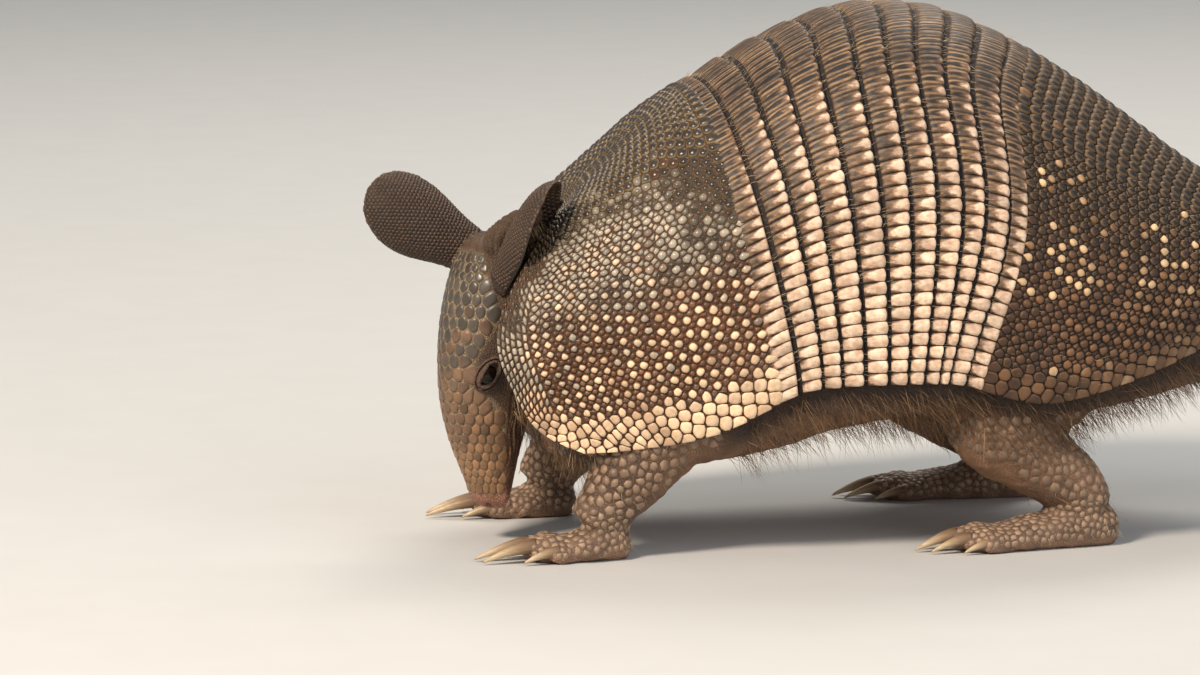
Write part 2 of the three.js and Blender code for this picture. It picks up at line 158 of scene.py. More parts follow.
def shell_point(u, v, depth=0.0):
    """A point of the shell at station u, and v from -1 to 1 by angle round the section."""
    u, v = np.broadcast_arrays(np.asarray(u, float), np.asarray(v, float))
    angle = np.abs(v) * ARCH
    drop = (1 - np.cos(angle)) / (1 - math.cos(ARCH))
    ridge_z = along(SHELL["ridge_z"], u) - depth
    wide = along(SHELL["width"], u) - depth
    ridge, shoulder, flank, edge = (along(SHELL[k], u) for k in ("ridge_x", "shoulder_x", "flank_x", "edge_x"))
    x = along(np.stack([shoulder, ridge, shoulder, flank, edge]), 1 + 3 * np.abs(v))
    y = np.sign(v) * wide * np.abs(np.sin(angle)) ** SQUARE
    return np.stack([x, y, ridge_z + (along(SHELL["edge_z"], u) - ridge_z) * drop], -1)


# The way round the shell measured along its surface: v for each share of the half arch, and its length.
STEPS_U, STEPS_T = 220, 120
_u, _v = np.meshgrid(np.linspace(0, LAST, STEPS_U + 1), np.linspace(0, 1, STEPS_T + 1), indexing="ij")
_length = np.linalg.norm(np.diff(shell_point(_u, _v), axis=1), axis=-1).cumsum(1)
HALF_ARCH = _length[:, -1]
_share = np.concatenate([np.zeros((STEPS_U + 1, 1)), _length / HALF_ARCH[:, None]], 1)
BY_SHARE = np.stack([np.interp(_v[0], share, _v[0]) for share in _share])


def shell(u, t, lift=0.0):
    """A point of the shell at station u, and t from -1 to 1 along the surface, raised by lift."""
    u, t = np.broadcast_arrays(np.asarray(u, float), np.asarray(t, float))
    fu = np.clip(u / LAST * STEPS_U, 0, STEPS_U - 1e-6)
    ft = np.clip(np.abs(t) * STEPS_T, 0, STEPS_T - 1e-6)
    i, j = fu.astype(int), ft.astype(int)
    fu, ft = fu - i, ft - j
    v = (BY_SHARE[i, j] * (1 - fu) + BY_SHARE[i + 1, j] * fu) * (1 - ft)
    v = v + (BY_SHARE[i, j + 1] * (1 - fu) + BY_SHARE[i + 1, j + 1] * fu) * ft
    v = np.where(np.abs(t) > 1, np.abs(t), v)
    return shell_point(u, np.sign(t) * v, -np.asarray(lift, float))


def shell_frame(u, t):
    """The outward normal and the head-to-tail direction of the shell's surface."""
    back = shell(u + 0.03, t) - shell(u - 0.03, t)
    down = shell(u, np.asarray(t) + 0.01) - shell(u, np.asarray(t) - 0.01)
    return unit(np.cross(back, down)), unit(back)


def arch_length(u):
    return np.interp(u, np.linspace(0, LAST, STEPS_U + 1), HALF_ARCH)


ACROSS, UP, DOWN = np.array([[0.0, 1.0, 0.0], [0.0, 0.0, 1.0], [0.0, 0.0, -1.0]])
FACING = np.array([-math.cos(YAW), -math.sin(YAW), 0.0])
SNOUT = DOWN * math.cos(LEAN) + FACING * math.sin(LEAN)
BROW = FACING * math.cos(LEAN) - DOWN * math.sin(LEAN)
LEFT = np.cross(BROW, SNOUT)


def on_head(distance, up, out):
    distance, up, out = (np.asarray(k, float)[..., None] for k in (distance, up, out))
    return CROWN + SNOUT * distance + BROW * up + LEFT * out


def round_tube(centre, side, up, across, above, below, angle):
    reach = np.where(np.cos(angle) > 0, above, below) * np.cos(angle)
    return centre + side * (across * np.sin(angle))[..., None] + up * reach[..., None]


def head_surface(t, angle):
    """The head at station t, and the angle round it from the brow, positive to its left."""
    width, above, below = (along(HEAD[k], t) for k in ("across", "above", "below"))
    return round_tube(on_head(along(HEAD["along"], t), 0, 0), LEFT, BROW, width, above, below, angle)


def limb_surface(limb, t, angle, mirror=1):
    last = len(limb["x"]) - 1

    def centre(s):
        return np.stack([along(limb["x"], s), along(limb["y"], s) * mirror, along(limb["z"], s)], -1)

    forward = unit(centre(np.minimum(t + 0.02, last)) - centre(np.maximum(t - 0.02, 0)))
    side = unit(ACROSS - forward * forward[..., 1:2])
    above = along(limb["above"], t)
    return round_tube(centre(t), side, np.cross(forward, side), along(limb["across"], t), above, above, angle)


def on_foot(foot, mirror, reach, offset, height):
    c, s = math.cos(foot["turn"]), math.sin(foot["turn"])
    x = foot["at"][0] - reach * c + offset * s
    y = mirror * (foot["at"][1] - offset * c - reach * s)
    return np.stack(np.broadcast_arrays(x, y, height), -1).astype(float)


def ear_leaf(s):
    """Half the ear's width at share s of its length, as a share of the widest."""
    low = EAR["neck"] + (1 - EAR["neck"]) * np.sin(np.clip(s / EAR["widest"], 0, 1) * math.pi / 2) ** 2.2
    past = np.maximum(s - EAR["widest"], 0) / (1 - EAR["widest"])
    high = np.sqrt(np.maximum(1 - (1 - 0.17**2) * past**2, 0))
    return np.where(s < EAR["widest"], low, high)


def ear_surface(ear, s, x, z):
    """A point of an ear: share s of its length, x from -1 to 1 across it, z from -1 outside to 1 inside."""
    tip = unit(np.array(ear["points"], float))
    mouth = np.array(ear["opens"], float)
    mouth = unit(mouth - tip * (mouth @ tip))
    across = np.cross(tip, mouth) * ear["side"]
    base = on_head(ear["root"][0], ear["root"][1], ear["root"][2] * ear["side"])
    curl = 1.8 - 0.95 * s
    bend = EAR["width"] * ear_leaf(s) / np.sin(np.minimum(curl, math.pi / 2))
    radius = bend - z * EAR["thick"] / 2
    turn = x * curl
    out = base + tip * (EAR["length"] * s - EAR["sunk"])[..., None] + across * (radius * np.sin(turn))[..., None]
    return out + mouth * (bend * 0.6 - radius * np.cos(turn))[..., None]


_low, _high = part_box("eye_left")
_eye = on_head(EYE["along"], EYE["up"], EYE["out"])
SHIFT = np.round((np.array(_low) + np.array(_high)) * 500 - _eye, 2)

# ---- Mesh helpers ----

SCENE = bpy.context.scene


def new_object(name, mesh):
    made = bpy.data.objects.new(name, mesh)
    SCENE.collection.objects.link(made)
    return made


def coordinates(mesh):
    out = np.empty(len(mesh.vertices) * 3)
    mesh.vertices.foreach_get("co", out)
    return out.reshape(-1, 3)


def normals_of(mesh):
    out = np.empty(len(mesh.vertices) * 3)
    mesh.vertex_normals.foreach_get("vector", out)
    return out.reshape(-1, 3)


def place_vertices(mesh, points):
    mesh.vertices.foreach_set("co", np.asarray(points, float).ravel())
    mesh.update()


def mesh_of(bm, name):
    """The mesh that a bmesh holds. The bmesh is freed."""
    mesh = bpy.data.meshes.new(name)
    bm.to_mesh(mesh)
    bm.free()
    return mesh


MERGED = 1e-3  # vertices nearer than this are one


def spread(name, rows, columns, place):
    """A grid whose vertex at (a, b), both from 0 to 1, goes to place(a, b); vertices that meet are merged."""
    bm = bmesh.new()
    bmesh.ops.create_grid(bm, x_segments=rows, y_segments=columns, size=0.5)
    flat = np.array([v.co[:2] for v in bm.verts]) + 0.5
    for vertex, at in zip(bm.verts, place(flat[:, 0], flat[:, 1])):
        vertex.co = at
    bmesh.ops.remove_doubles(bm, verts=bm.verts, dist=MERGED)
    bmesh.ops.recalc_face_normals(bm, faces=bm.faces)
    return mesh_of(bm, name)


def capsule(name, rows, columns, place, ends=(0.06, 0.06)):
    """A closed tube: place(a, angle, slim) gives a point, slim falling to 0 over the rounded ends."""

    def both(a, b):
        slim = np.sqrt(np.clip(1 - (1 - np.clip(a / ends[0], 0, 1)) ** 2, 0, 1))
        slim = slim * np.sqrt(np.clip(1 - (1 - np.clip((1 - a) / ends[1], 0, 1)) ** 2, 0, 1))
        return place(a, b * 2 * math.pi, slim)

    return spread(name, rows, columns, both)


def joined(name, meshes):
    bm = bmesh.new()
    for mesh in meshes:
        bm.from_mesh(mesh)
        bpy.data.meshes.remove(mesh)
    return mesh_of(bm, name)


def with_modifiers(mesh, *modifiers, group=None):
    """The mesh after modifiers, each a (kind, settings) pair; group is a weight for each vertex."""
    made = new_object("making", mesh)
    if group is not None:
        weights = made.vertex_groups.new(name="group")
        for level in np.unique(group):
            weights.add(np.nonzero(group == level)[0].tolist(), float(level), "REPLACE")
    for kind, settings in modifiers:
        modifier = made.modifiers.new(kind.lower(), kind)
        for key, value in settings.items():
            setattr(modifier, key, value)
    out = bpy.data.meshes.new_from_object(made.evaluated_get(bpy.context.evaluated_depsgraph_get()))
    bpy.data.objects.remove(made)
    bpy.data.meshes.remove(mesh)
    return out


def tree_of(mesh):
    return BVHTree.FromPolygons(coordinates(mesh).tolist(), [tuple(p.vertices) for p in mesh.polygons])


def surface_of(mesh):
    """For points near a mesh, the nearest points on it."""
    tree = tree_of(mesh)

    def nearest(points):
        return np.array([tree.find_nearest(Vector(p))[0] for p in points.reshape(-1, 3)]).reshape(points.shape)

    return nearest


def paint(mesh, name, colours):
    """Keeps a colour and a fourth number for each vertex, which the materials read."""
    mesh.attributes.new(name, "FLOAT_COLOR", "POINT").data.foreach_set("color", colours.astype(np.float32).ravel())


def finish_piece(name, mesh, material, nodes=()):
    """Brings a mesh from millimetres into the part's frame, keeps it above the floor and hands it to the frame."""
    mesh.name = name
    place_vertices(mesh, np.maximum((coordinates(mesh) + SHIFT) * 0.001, (-1, -1, 0)))
    mesh.materials.clear()
    mesh.materials.append(material)
    mesh.polygons.foreach_set("use_smooth", [True] * len(mesh.polygons))
    piece = new_object(name, mesh)
    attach(piece, "root")
    if nodes:
        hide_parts(*nodes)
    return piece


PATCH = 0.0015  # half of the patch of the bake map that one scute or hair takes
UNSEEN = 0.01  # how much of its room a face that nothing sees keeps there


class Forms:
    """Many small closed forms gathered into one mesh, each with its look and its own patch of the bake map."""

    def __init__(self):
        self.points, self.looks, self.patches, self.faces, self.hidden = [], [], [], [], []
        self.count = 0

    def add(self, points, looks, patches, *kinds):
        """Adds one form for each row of the arrays. kinds are lists of faces, and nothing sees the last kind."""
        starts = self.count + np.arange(len(points))[:, None, None] * points.shape[1]
        for number, kind in enumerate(kinds):
            made = starts + np.asarray(kind)[None]
            self.faces += made.reshape(-1, made.shape[-1]).tolist()
            self.hidden.append(np.full(made.size, number == len(kinds) - 1))
        for store, value in ((self.points, points), (self.looks, looks), (self.patches, patches)):
            store.append(value.reshape(-1, value.shape[-1]))
        self.count += points.shape[0] * points.shape[1]

    def mesh(self, name):
        out = bpy.data.meshes.new(name)
        out.from_pydata(np.concatenate(self.points).tolist(), [], self.faces)
        paint(out, "look", np.concatenate(self.looks))
        patches = np.concatenate(self.patches)
        corner, first = np.empty(len(out.loops), int), np.empty(len(out.polygons), int)
        out.loops.foreach_get("vertex_index", corner)
        out.polygons.foreach_get("loop_start", first)
        seen = patches[corner]
        anchor = patches[corner[first]].repeat(np.diff(np.append(first, len(corner))), axis=0)
        uv = np.where(np.concatenate(self.hidden)[:, None], anchor + (seen - anchor) * UNSEEN, seen)
        out.uv_layers.new(name="OFBake").data.foreach_set("uv", uv.astype(np.float32).ravel())
        return out


# ---- Scutes: plates of horn that fill a surface between their neighbours ----

# Profiles from the sunk rim to the middle: the share of the reach, the share of the height (None where it is
# sunk) and how near the core the material takes the point to be.
DOME = [(1.0, None, 0.0), (0.97, 0.16, 0.1), (0.8, 0.6, 0.45), (0.46, 0.92, 0.8), (0.0, 1.0, 1.0)]
BEAD = [(1.0, None, 0.0), (0.9, 0.5, 0.4), (0.0, 1.0, 1.0)]
TILE = [(1.0, None, 0.0), (0.99, 0.35, 0.1), (0.88, 0.82, 0.5), (0.5, 0.96, 0.9), (0.0, 1.0, 1.0)]
GRIP = 0.35  # how deep a scute's rim is sunk in the surface that carries it
SIDES = 12
NEAR = 16  # neighbours that a scute is measured against
BLOCK = 300  # scutes measured at once


def reaches(sites, normals, length_way, weights, stretch, angles, gap, power):
    """How far each scute reaches at each angle before it meets a neighbour, in its stretched plane.
    gap is the groove beside each scute and the groove at its ends; a higher power makes sharper corners."""
    gap = np.broadcast_to(gap, (len(sites), 2))
    side_way = np.cross(normals, length_way)
    out = np.empty((len(sites), len(angles)))
    count = min(NEAR, len(sites) - 1)
    for start in range(0, len(sites), BLOCK):
        block = slice(start, start + BLOCK)
        apart = sites[None] - sites[block][:, None]
        near = np.argpartition((apart**2).sum(-1), count, axis=1)[:, :count]
        apart = np.take_along_axis(apart, near[..., None], 1)
        x = (apart * length_way[block][:, None]).sum(-1) / stretch[block][:, None]
        y = (apart * side_way[block][:, None]).sum(-1)
        z = (apart * normals[block][:, None]).sum(-1)
        distance = np.sqrt(x * x + y * y + z * z)
        own = distance < 1e-6
        distance[own] = 1e9
        lengthwise = (x / distance) ** 2
        open_gap = gap[block, :1] * (1 - lengthwise) + gap[block, 1:] * lengthwise
        bound = (distance**2 + weights[block][:, None] ** 2 - weights[near] ** 2) / (2 * distance) - open_gap / 2
        facing = np.cos(angles[None, :, None] - np.arctan2(y, x)[:, None, :])
        share = np.maximum(facing, 0) / np.maximum(bound, 0.2)[:, None, :]
        share[np.broadcast_to(own[:, None, :], share.shape)] = 0
        out[block] = np.maximum((share**power).sum(-1), 1e-9) ** (-1 / power)
    return out


def scutes(name, surface, sites, normals, length_way, roots, weights, heights, looks,
           stretch=1.0, gap=0.5, power=7, limit=1.3, tilt=0.0, forms=((None, SIDES, DOME),)):
    """A mesh of scutes on a surface. forms are (which sites, sides, profile); looks are (pale, random, stain);
    tilt raises the far end of each scute and lowers the near one, as shingles lie."""
    sites = surface(sites)
    normals = unit(normals)
    length_way = unit(length_way - normals * (length_way * normals).sum(-1, keepdims=True))
    side_way = np.cross(normals, length_way)
    angles = np.arange(SIDES) * 2 * math.pi / SIDES
    stretch, tilt = (np.broadcast_to(k, len(sites)) for k in (stretch, tilt))
    reach = reaches(sites, normals, length_way, weights, stretch, angles, gap, power)
    reach = np.minimum(reach, (weights * limit)[:, None])
    out = Forms()
    for which, sides, profile in forms:
        which = np.arange(len(sites)) if which is None else np.nonzero(which)[0]
        step = SIDES // sides
        way, r, n = angles[::step], reach[which][:, ::step, None], normals[which][:, None]
        longer = np.cos(way)[None, :, None] * stretch[which][:, None, None]
        rim = sites[which][:, None] + length_way[which][:, None] * r * longer
        rim = surface(rim + side_way[which][:, None] * r * np.sin(way)[None, :, None])
        centre, tall = sites[which][:, None], heights[which][:, None, None]
        turn = np.stack([np.cos(way), np.sin(way)], -1)[None] * PATCH
        points, look, patches = [], [], []
        for share, high, field in profile:
            ring, turned = (rim, turn) if share else (rim[:, :1], turn[:, :1])
            lean = tilt[which][:, None, None] * share * np.cos(way[:ring.shape[1]])[None, :, None]
            points.append(centre + (ring - centre) * share + n * (-GRIP if high is None else tall * high + lean))
            shade = np.concatenate([np.full((len(which), 1), field), looks[which]], 1)
            look.append(shade[:, None].repeat(ring.shape[1], 1))
            patches.append(roots[which][:, None] + turned * share)
        k = np.arange(sides)
        after = (k + 1) % sides
        rows = np.arange(len(profile) - 2)[:, None] * sides
        quads = np.stack([rows + k, rows + after, rows + sides + after, rows + sides + k], -1).reshape(-1, 4)
        last = rows[-1, 0] + sides
        top = np.stack([last + k, last + after, np.full(sides, last + sides)], -1)
        out.add(*(np.concatenate(values, 1) for values in (points, look, patches)), quads, top, k[::-1][None])
    return out.mesh(name)


# Where each part of the body lies on the bake map: the corner and the size of its rectangle.
CHART = {
    "shell": (0.02, 0.02, 0.96, 0.96),
    "head": (0.02, 0.02, 0.45, 0.45),
    "ear_left": (0.02, 0.52, 0.45, 0.45),
    "ear_right": (0.52, 0.52, 0.45, 0.45),
    "tail": (0.02, 0.02, 0.96, 0.96),
}


def chart(part, a, b):
    x, y, wide, high = CHART[part]
    return np.stack([x + wide * np.clip(a, 0, 1), y + high * np.clip(b, 0, 1)], -1)


# ---- Materials ----


def linear(code):
    """An sRGB hex colour as a linear RGBA."""
    parts = [int(code[k:k + 2], 16) / 255 for k in (1, 3, 5)]
    return (*[c / 12.92 if c <= 0.04045 else ((c + 0.055) / 1.055) ** 2.4 for c in parts], 1.0)


def add(tree, kind, inputs=(), out=0, stops=None, **settings):
    """Adds a node and gives its output out, or the node itself where out is None. The inputs are values or the
    sockets that feed them, in the node's own order or by name; stops are a ramp's places and colours."""
    node = tree.nodes.new(kind)
    for key, value in settings.items():
        setattr(node, key, value)
    if stops:
        ramp = node.color_ramp
        while len(ramp.elements) < len(stops):
            ramp.elements.new(0.5)
        for element, (at, code) in zip(ramp.elements, stops):
            element.position = at
            element.color = linear(code)
    for key, value in (inputs.items() if isinstance(inputs, dict) else enumerate(inputs)):
        if isinstance(value, bpy.types.NodeSocket):
            tree.links.new(value, node.inputs[key])
        else:
            node.inputs[key].default_value = linear(value) if isinstance(value, str) else value
    return node if out is None else node.outputs[out]


def material(name):
    """A new material and its empty node tree."""
    made = bpy.data.materials.new(name)
    made.use_nodes = True
    made.node_tree.nodes.clear()
    return made, made.node_tree


def surfaced(made, inputs):
    """Ends a material in a Principled shader with these inputs."""
    shader = add(made.node_tree, "ShaderNodeBsdfPrincipled", inputs)
    add(made.node_tree, "ShaderNodeOutputMaterial", [shader], out=None)
    return made


# Settings that many nodes share. A MapRange takes its value, the range it comes from and the range it goes to;
# a multiply-add takes a, b and c and gives a x b + c; a mix of colours has its factor at 0 and its colours at 6 and 7.
EASED = {"interpolation_type": "SMOOTHSTEP"}
TIMES_PLUS = {"operation": "MULTIPLY_ADD"}
COLOURS = {"data_type": "RGBA", "out": 2}
TINTED = {"data_type": "RGBA", "out": 2, "blend_type": "MULTIPLY"}
KERATIN_IOR, SKIN_IOR = 1.54, 1.45


def varied(tree, colour, *greys):
    """The colour times greys, each given as what it follows, that one's range, and the grey at either end."""
    for source, low, high, dark, light in greys:
        grey = add(tree, "ShaderNodeMapRange", (source, low, high, dark, light), **EASED)
        colour = add(tree, "ShaderNodeMix", {0: 1.0, 6: colour, 7: grey}, **TINTED)
    return colour


def horn(name, groove, rim, core, middle_rim, middle, pale_rim, pale, stain, rough=(0.4, 0.62), edge=(0.3, 0.62),
         pale_edge=(0.04, 0.34), shrink=0.0, grain=2.2):
    """Keratin over bone, as scutes grow it: a core ringed by its rim, dull with dirt in the grooves.
    The look attribute holds how near the core a point is, how pale the scute is, a random share and a stain.
    Where shrink is not 0, the pale colour covers less of the scutes that are neither dull nor wholly pale.
    grain is the growth marks' size in millimetres."""
    made, tree = material(name)
    place = add(tree, "ShaderNodeTexCoord", out="Object")
    look = add(tree, "ShaderNodeAttribute", out=None, attribute_name="look")
    field, paleness, chance = add(tree, "ShaderNodeSeparateColor", [look.outputs["Color"]], out=None).outputs
    # Fine noise draws growth marks and scratches; broad noise draws dirt and wear in patches of 12 mm.
    fine = add(tree, "ShaderNodeTexNoise", {"Vector": place, "Scale": 1000 / grain, "Detail": 4.0, "Roughness": 0.6})
    broad = add(tree, "ShaderNodeTexNoise", {"Vector": place, "Scale": 80.0, "Detail": 3.0, "Roughness": 0.55})
    worn = add(tree, "ShaderNodeMath", (field, 1.0, -0.14), **TIMES_PLUS)
    worn = add(tree, "ShaderNodeMath", (fine, 0.28, worn), **TIMES_PLUS)
    paler = add(tree, "ShaderNodeMath", (broad, 0.6, paleness), **TIMES_PLUS)
    covered = add(tree, "ShaderNodeMapRange", (paleness, 0.46, 0.62, 0.0, -shrink), **EASED)
    covered = add(tree, "ShaderNodeMath", (worn, 1.0, covered), **TIMES_PLUS)
    filled = add(tree, "ShaderNodeMapRange", (paleness, 0.8, 1.0, 0.0, shrink), **EASED)
    covered = add(tree, "ShaderNodeMath", (filled, 1.0, covered), **TIMES_PLUS)
    ringed = add(tree, "ShaderNodeMapRange", (worn, *edge), **EASED)
    colour = add(tree, "ShaderNodeMix", {0: ringed, 6: rim, 7: core}, **COLOURS)
    covered = add(tree, "ShaderNodeMapRange", (covered, *pale_edge), **EASED)
    for low, high, outer, inner in ((0.42, 0.72, middle_rim, middle), (0.78, 1.12, pale_rim, pale)):
        share = add(tree, "ShaderNodeMapRange", (paler, low, high), **EASED)
        tone = add(tree, "ShaderNodeMix", {0: covered, 6: outer, 7: inner}, **COLOURS)
        colour = add(tree, "ShaderNodeMix", {0: share, 6: colour, 7: tone}, **COLOURS)
    patchy = add(tree, "ShaderNodeMapRange", (fine, 0.2, 0.5), **EASED)
    stained = add(tree, "ShaderNodeMath", (look.outputs["Alpha"], patchy), operation="MULTIPLY")
    # Grooves are dark, but less so round the scutes that are wholly pale.
    deep = add(tree, "ShaderNodeMapRange", (paleness, 0.8, 1.0, 0.85, 0.25), **EASED)
    sunk = add(tree, "ShaderNodeMapRange", (worn, 0.0, 0.14, 1.0, 0.0), **EASED)
    sunk = add(tree, "ShaderNodeMath", (sunk, deep), operation="MULTIPLY")
    colour = add(tree, "ShaderNodeMix", {0: stained, 6: colour, 7: stain}, **COLOURS)
    colour = add(tree, "ShaderNodeMix", {0: sunk, 6: colour, 7: groove}, **COLOURS)
    colour = varied(tree, colour, (chance, 0.0, 1.0, 0.8, 1.16), (broad, 0.3, 0.7, 0.84, 1.1),
                    (fine, 0.25, 0.75, 0.8, 1.14))
    roughness = add(tree, "ShaderNodeMapRange", (worn, 0.0, 1.0, *rough[::-1]), **EASED)
    relief = add(tree, "ShaderNodeBump", {"Height": fine, "Strength": 1.0, "Distance": 0.00006})
    return surfaced(made, {"Base Color": colour, "Roughness": roughness, "Normal": relief, "IOR": KERATIN_IOR})


def band_horn():
    """The bands' horn: slender dark lenses between tan lines over the back, and cream wedges that widen to the rear
    edge down the flank until they all but fill the plate, with brown left at each plate's front end and joints, partly
    the horn's own colour and partly painted shade; high up the flank the cream is partly a painted highlight.
    The look attribute holds the wedge, the lens, a random share and the lines."""
    made, tree = material("keratin_bands")
    place = add(tree, "ShaderNodeTexCoord", out="Object")
    look = add(tree, "ShaderNodeAttribute", out=None, attribute_name="look")
    wedge, lens, chance = add(tree, "ShaderNodeSeparateColor", [look.outputs["Color"]], out=None).outputs
    # Growth marks run from head to tail, so their noise, of 1.1 mm, is drawn out that way. The mottle's is 3.4 mm.
    drawn = add(tree, "ShaderNodeMapping", {"Vector": place, "Scale": (0.3, 1.0, 1.0)})
    fine = add(tree, "ShaderNodeTexNoise", {"Vector": drawn, "Scale": 909.0, "Detail": 4.0, "Roughness": 0.62})
    mottle = add(tree, "ShaderNodeTexNoise", {"Vector": place, "Scale": 294.0, "Detail": 3.0, "Roughness": 0.6})
    broad = add(tree, "ShaderNodeTexNoise", {"Vector": place, "Scale": 77.0, "Detail": 3.0, "Roughness": 0.55})
    light = add(tree, "ShaderNodeMapRange", (mottle, 0.25, 0.75), **EASED)
    lined = add(tree, "ShaderNodeMath", (fine, 1.3, look.outputs["Alpha"]), **TIMES_PLUS)
    lined = add(tree, "ShaderNodeMapRange", (lined, 1.04, 1.66), **EASED)
    sunk = add(tree, "ShaderNodeMath", (fine, 0.7, lens), **TIMES_PLUS)
    sunk = add(tree, "ShaderNodeMapRange", (sunk, 0.54, 0.88), **EASED)
    creamier = add(tree, "ShaderNodeMapRange", (mottle, 0.3, 0.7), **EASED)
    # The wedge's edge is ragged along the growth marks.
    ragged = add(tree, "ShaderNodeMath", (fine, 0.45, wedge), **TIMES_PLUS)
    ragged = add(tree, "ShaderNodeMath", (mottle, 0.3, ragged), **TIMES_PLUS)
    brown = add(tree, "ShaderNodeMapRange", (ragged, 0.6, 0.86), **EASED)
    filled = add(tree, "ShaderNodeMapRange", (ragged, 0.78, 1.04), **EASED)
    colour = add(tree, "ShaderNodeMix", {0: light, 6: "#31241a", 7: "#614b38"}, **COLOURS)
    cream = add(tree, "ShaderNodeMix", {0: creamier, 6: "#cba78a", 7: "#f1d7bc"}, **COLOURS)
    for share, over in ((lined, "#967754"), (sunk, "#1d140e"), (brown, "#7f5d42"), (filled, cream)):
        colour = add(tree, "ShaderNodeMix", {0: share, 6: colour, 7: over}, **COLOURS)
    colour = varied(tree, colour, (chance, 0.0, 1.0, 0.84, 1.1), (broad, 0.3, 0.7, 0.84, 1.1),
                    (fine, 0.3, 0.7, 0.84, 1.1))
    roughness = add(tree, "ShaderNodeMapRange", (fine, 0.2, 0.8, 0.45, 0.7), **EASED)
    relief = add(tree, "ShaderNodeBump", {"Height": fine, "Strength": 1.0, "Distance": 0.0002})
    return surfaced(made, {"Base Color": colour, "Roughness": roughness, "Normal": relief, "IOR": KERATIN_IOR})


def hide(name, dark, light, wrinkle=1.05, bump=0.0002):
    """Bare skin with fine wrinkles and pores: between two colours, or the tint attribute's where they are None.
    wrinkle is the wrinkles' spacing in millimetres."""
    made, tree = material(name)
    place = add(tree, "ShaderNodeTexCoord", out="Object")
    # The wrinkles are the borders of cells, bent by noise so that none runs straight.
    warp = add(tree, "ShaderNodeTexNoise", {"Vector": place, "Scale": 500.0, "Detail": 2.0}, out="Color")
    bent = add(tree, "ShaderNodeVectorMath", (warp, (0.0012, 0.0012, 0.0012), place), **TIMES_PLUS)
    folds = add(tree, "ShaderNodeTexVoronoi", {"Vector": bent, "Scale": 1000 / wrinkle, "Randomness": 1.0},
                out="Distance", feature="DISTANCE_TO_EDGE")
    crease = add(tree, "ShaderNodeMapRange", (folds, 0.0, 0.3), **EASED)
    pores = add(tree, "ShaderNodeTexNoise", {"Vector": place, "Scale": 714.0, "Detail": 5.0, "Roughness": 0.65})
    broad = add(tree, "ShaderNodeTexNoise", {"Vector": place, "Scale": 62.5, "Detail": 3.0, "Roughness": 0.6})
    if dark:
        colour = add(tree, "ShaderNodeMix", {0: broad, 6: dark, 7: light}, **COLOURS)
    else:
        colour = add(tree, "ShaderNodeAttribute", attribute_name="tint")
    # Darker along the wrinkles' creases: painted shade.
    colour = varied(tree, colour, (crease, 0.0, 1.0, 0.7, 1.06), (pores, 0.2, 0.8, 0.8, 1.2),
                    (broad, 0.2, 0.8, 0.82, 1.18))
    height = add(tree, "ShaderNodeMath", (pores, 0.35, crease), **TIMES_PLUS)
    roughness = add(tree, "ShaderNodeMapRange", (pores, 0.2, 0.8, 0.55, 0.75), **EASED)
    relief = add(tree, "ShaderNodeBump", {"Height": height, "Strength": 1.0, "Distance": bump})
    return surfaced(made, {"Base Color": colour, "Roughness": roughness, "Normal": relief, "IOR": SKIN_IOR})


def wet_eye():
    """A wet eye: nearly black, with a brown haze and a sharp highlight."""
    made, tree = material("wet_eye")
    place = add(tree, "ShaderNodeTexCoord", out="Object")
    haze = add(tree, "ShaderNodeTexNoise", {"Vector": place, "Scale": 500.0, "Detail": 3.0})
    iris = add(tree, "ShaderNodeMix", {0: haze, 6: "#080504", 7: "#1c110b"}, **COLOURS)
    return surfaced(made, {"Base Color": iris, "Roughness": 0.14, "IOR": 1.3, "Coat Weight": 0.1,
                           "Coat Roughness": 0.03})


def claw_horn():
    """Keratin of claws: horn-yellow towards the tip, brown and ridged lengthways at the root."""
    made, tree = material("keratin_claw")
    place = add(tree, "ShaderNodeTexCoord", out="Object")
    drawn = add(tree, "ShaderNodeMapping", {"Vector": place, "Scale": (0.12, 1.0, 1.0)})
    ridges = add(tree, "ShaderNodeTexNoise", {"Vector": drawn, "Scale": 1600.0, "Detail": 3.0})
    look = add(tree, "ShaderNodeAttribute", out="Fac", attribute_name="look")
    tones = add(tree, "ShaderNodeValToRGB", [look],
                stops=[(0.0, "#54402f"), (0.35, "#8b7157"), (0.8, "#c9b391"), (1.0, "#b29a78")])
    grey = add(tree, "ShaderNodeMapRange", (ridges, 0.3, 0.7, 0.82, 1.1))
    colour = add(tree, "ShaderNodeMix", {0: 1.0, 6: tones, 7: grey}, **TINTED)
    relief = add(tree, "ShaderNodeBump", {"Height": ridges, "Distance": 0.00012})
    return surfaced(made, {"Base Color": colour, "Roughness": 0.38, "Normal": relief})


def bristle_hair():
    """Stiff hair from dark brown to straw, each hair a shade of its own."""
    made, tree = material("bristle_hair")
    look = add(tree, "ShaderNodeAttribute", attribute_name="look")
    _, straw, chance = add(tree, "ShaderNodeSeparateColor", [look], out=None).outputs
    tones = add(tree, "ShaderNodeValToRGB", [straw],
                stops=[(0.0, "#2b1c13"), (0.45, "#7c5b3c"), (0.75, "#b2916a"), (1.0, "#e4d3b4")])
    grey = add(tree, "ShaderNodeMapRange", (chance, 0.0, 1.0, 0.7, 1.15))
    colour = add(tree, "ShaderNodeMix", {0: 1.0, 6: tones, 7: grey}, **TINTED)
    return surfaced(made, {"Base Color": colour, "Roughness": 0.42})


def studio_paper():
    """Matt background paper, pale and all but even."""
    made, tree = material("pale_studio_paper")
    place = add(tree, "ShaderNodeTexCoord", out="Object")
    grain = add(tree, "ShaderNodeTexNoise", {"Vector": place, "Scale": 30.0, "Detail": 4.0})
    tone = add(tree, "ShaderNodeMix", {0: grain, 6: "#c4c5c4", 7: "#cacbca"}, **COLOURS)
    return surfaced(made, {"Base Color": tone, "Roughness": 0.85})
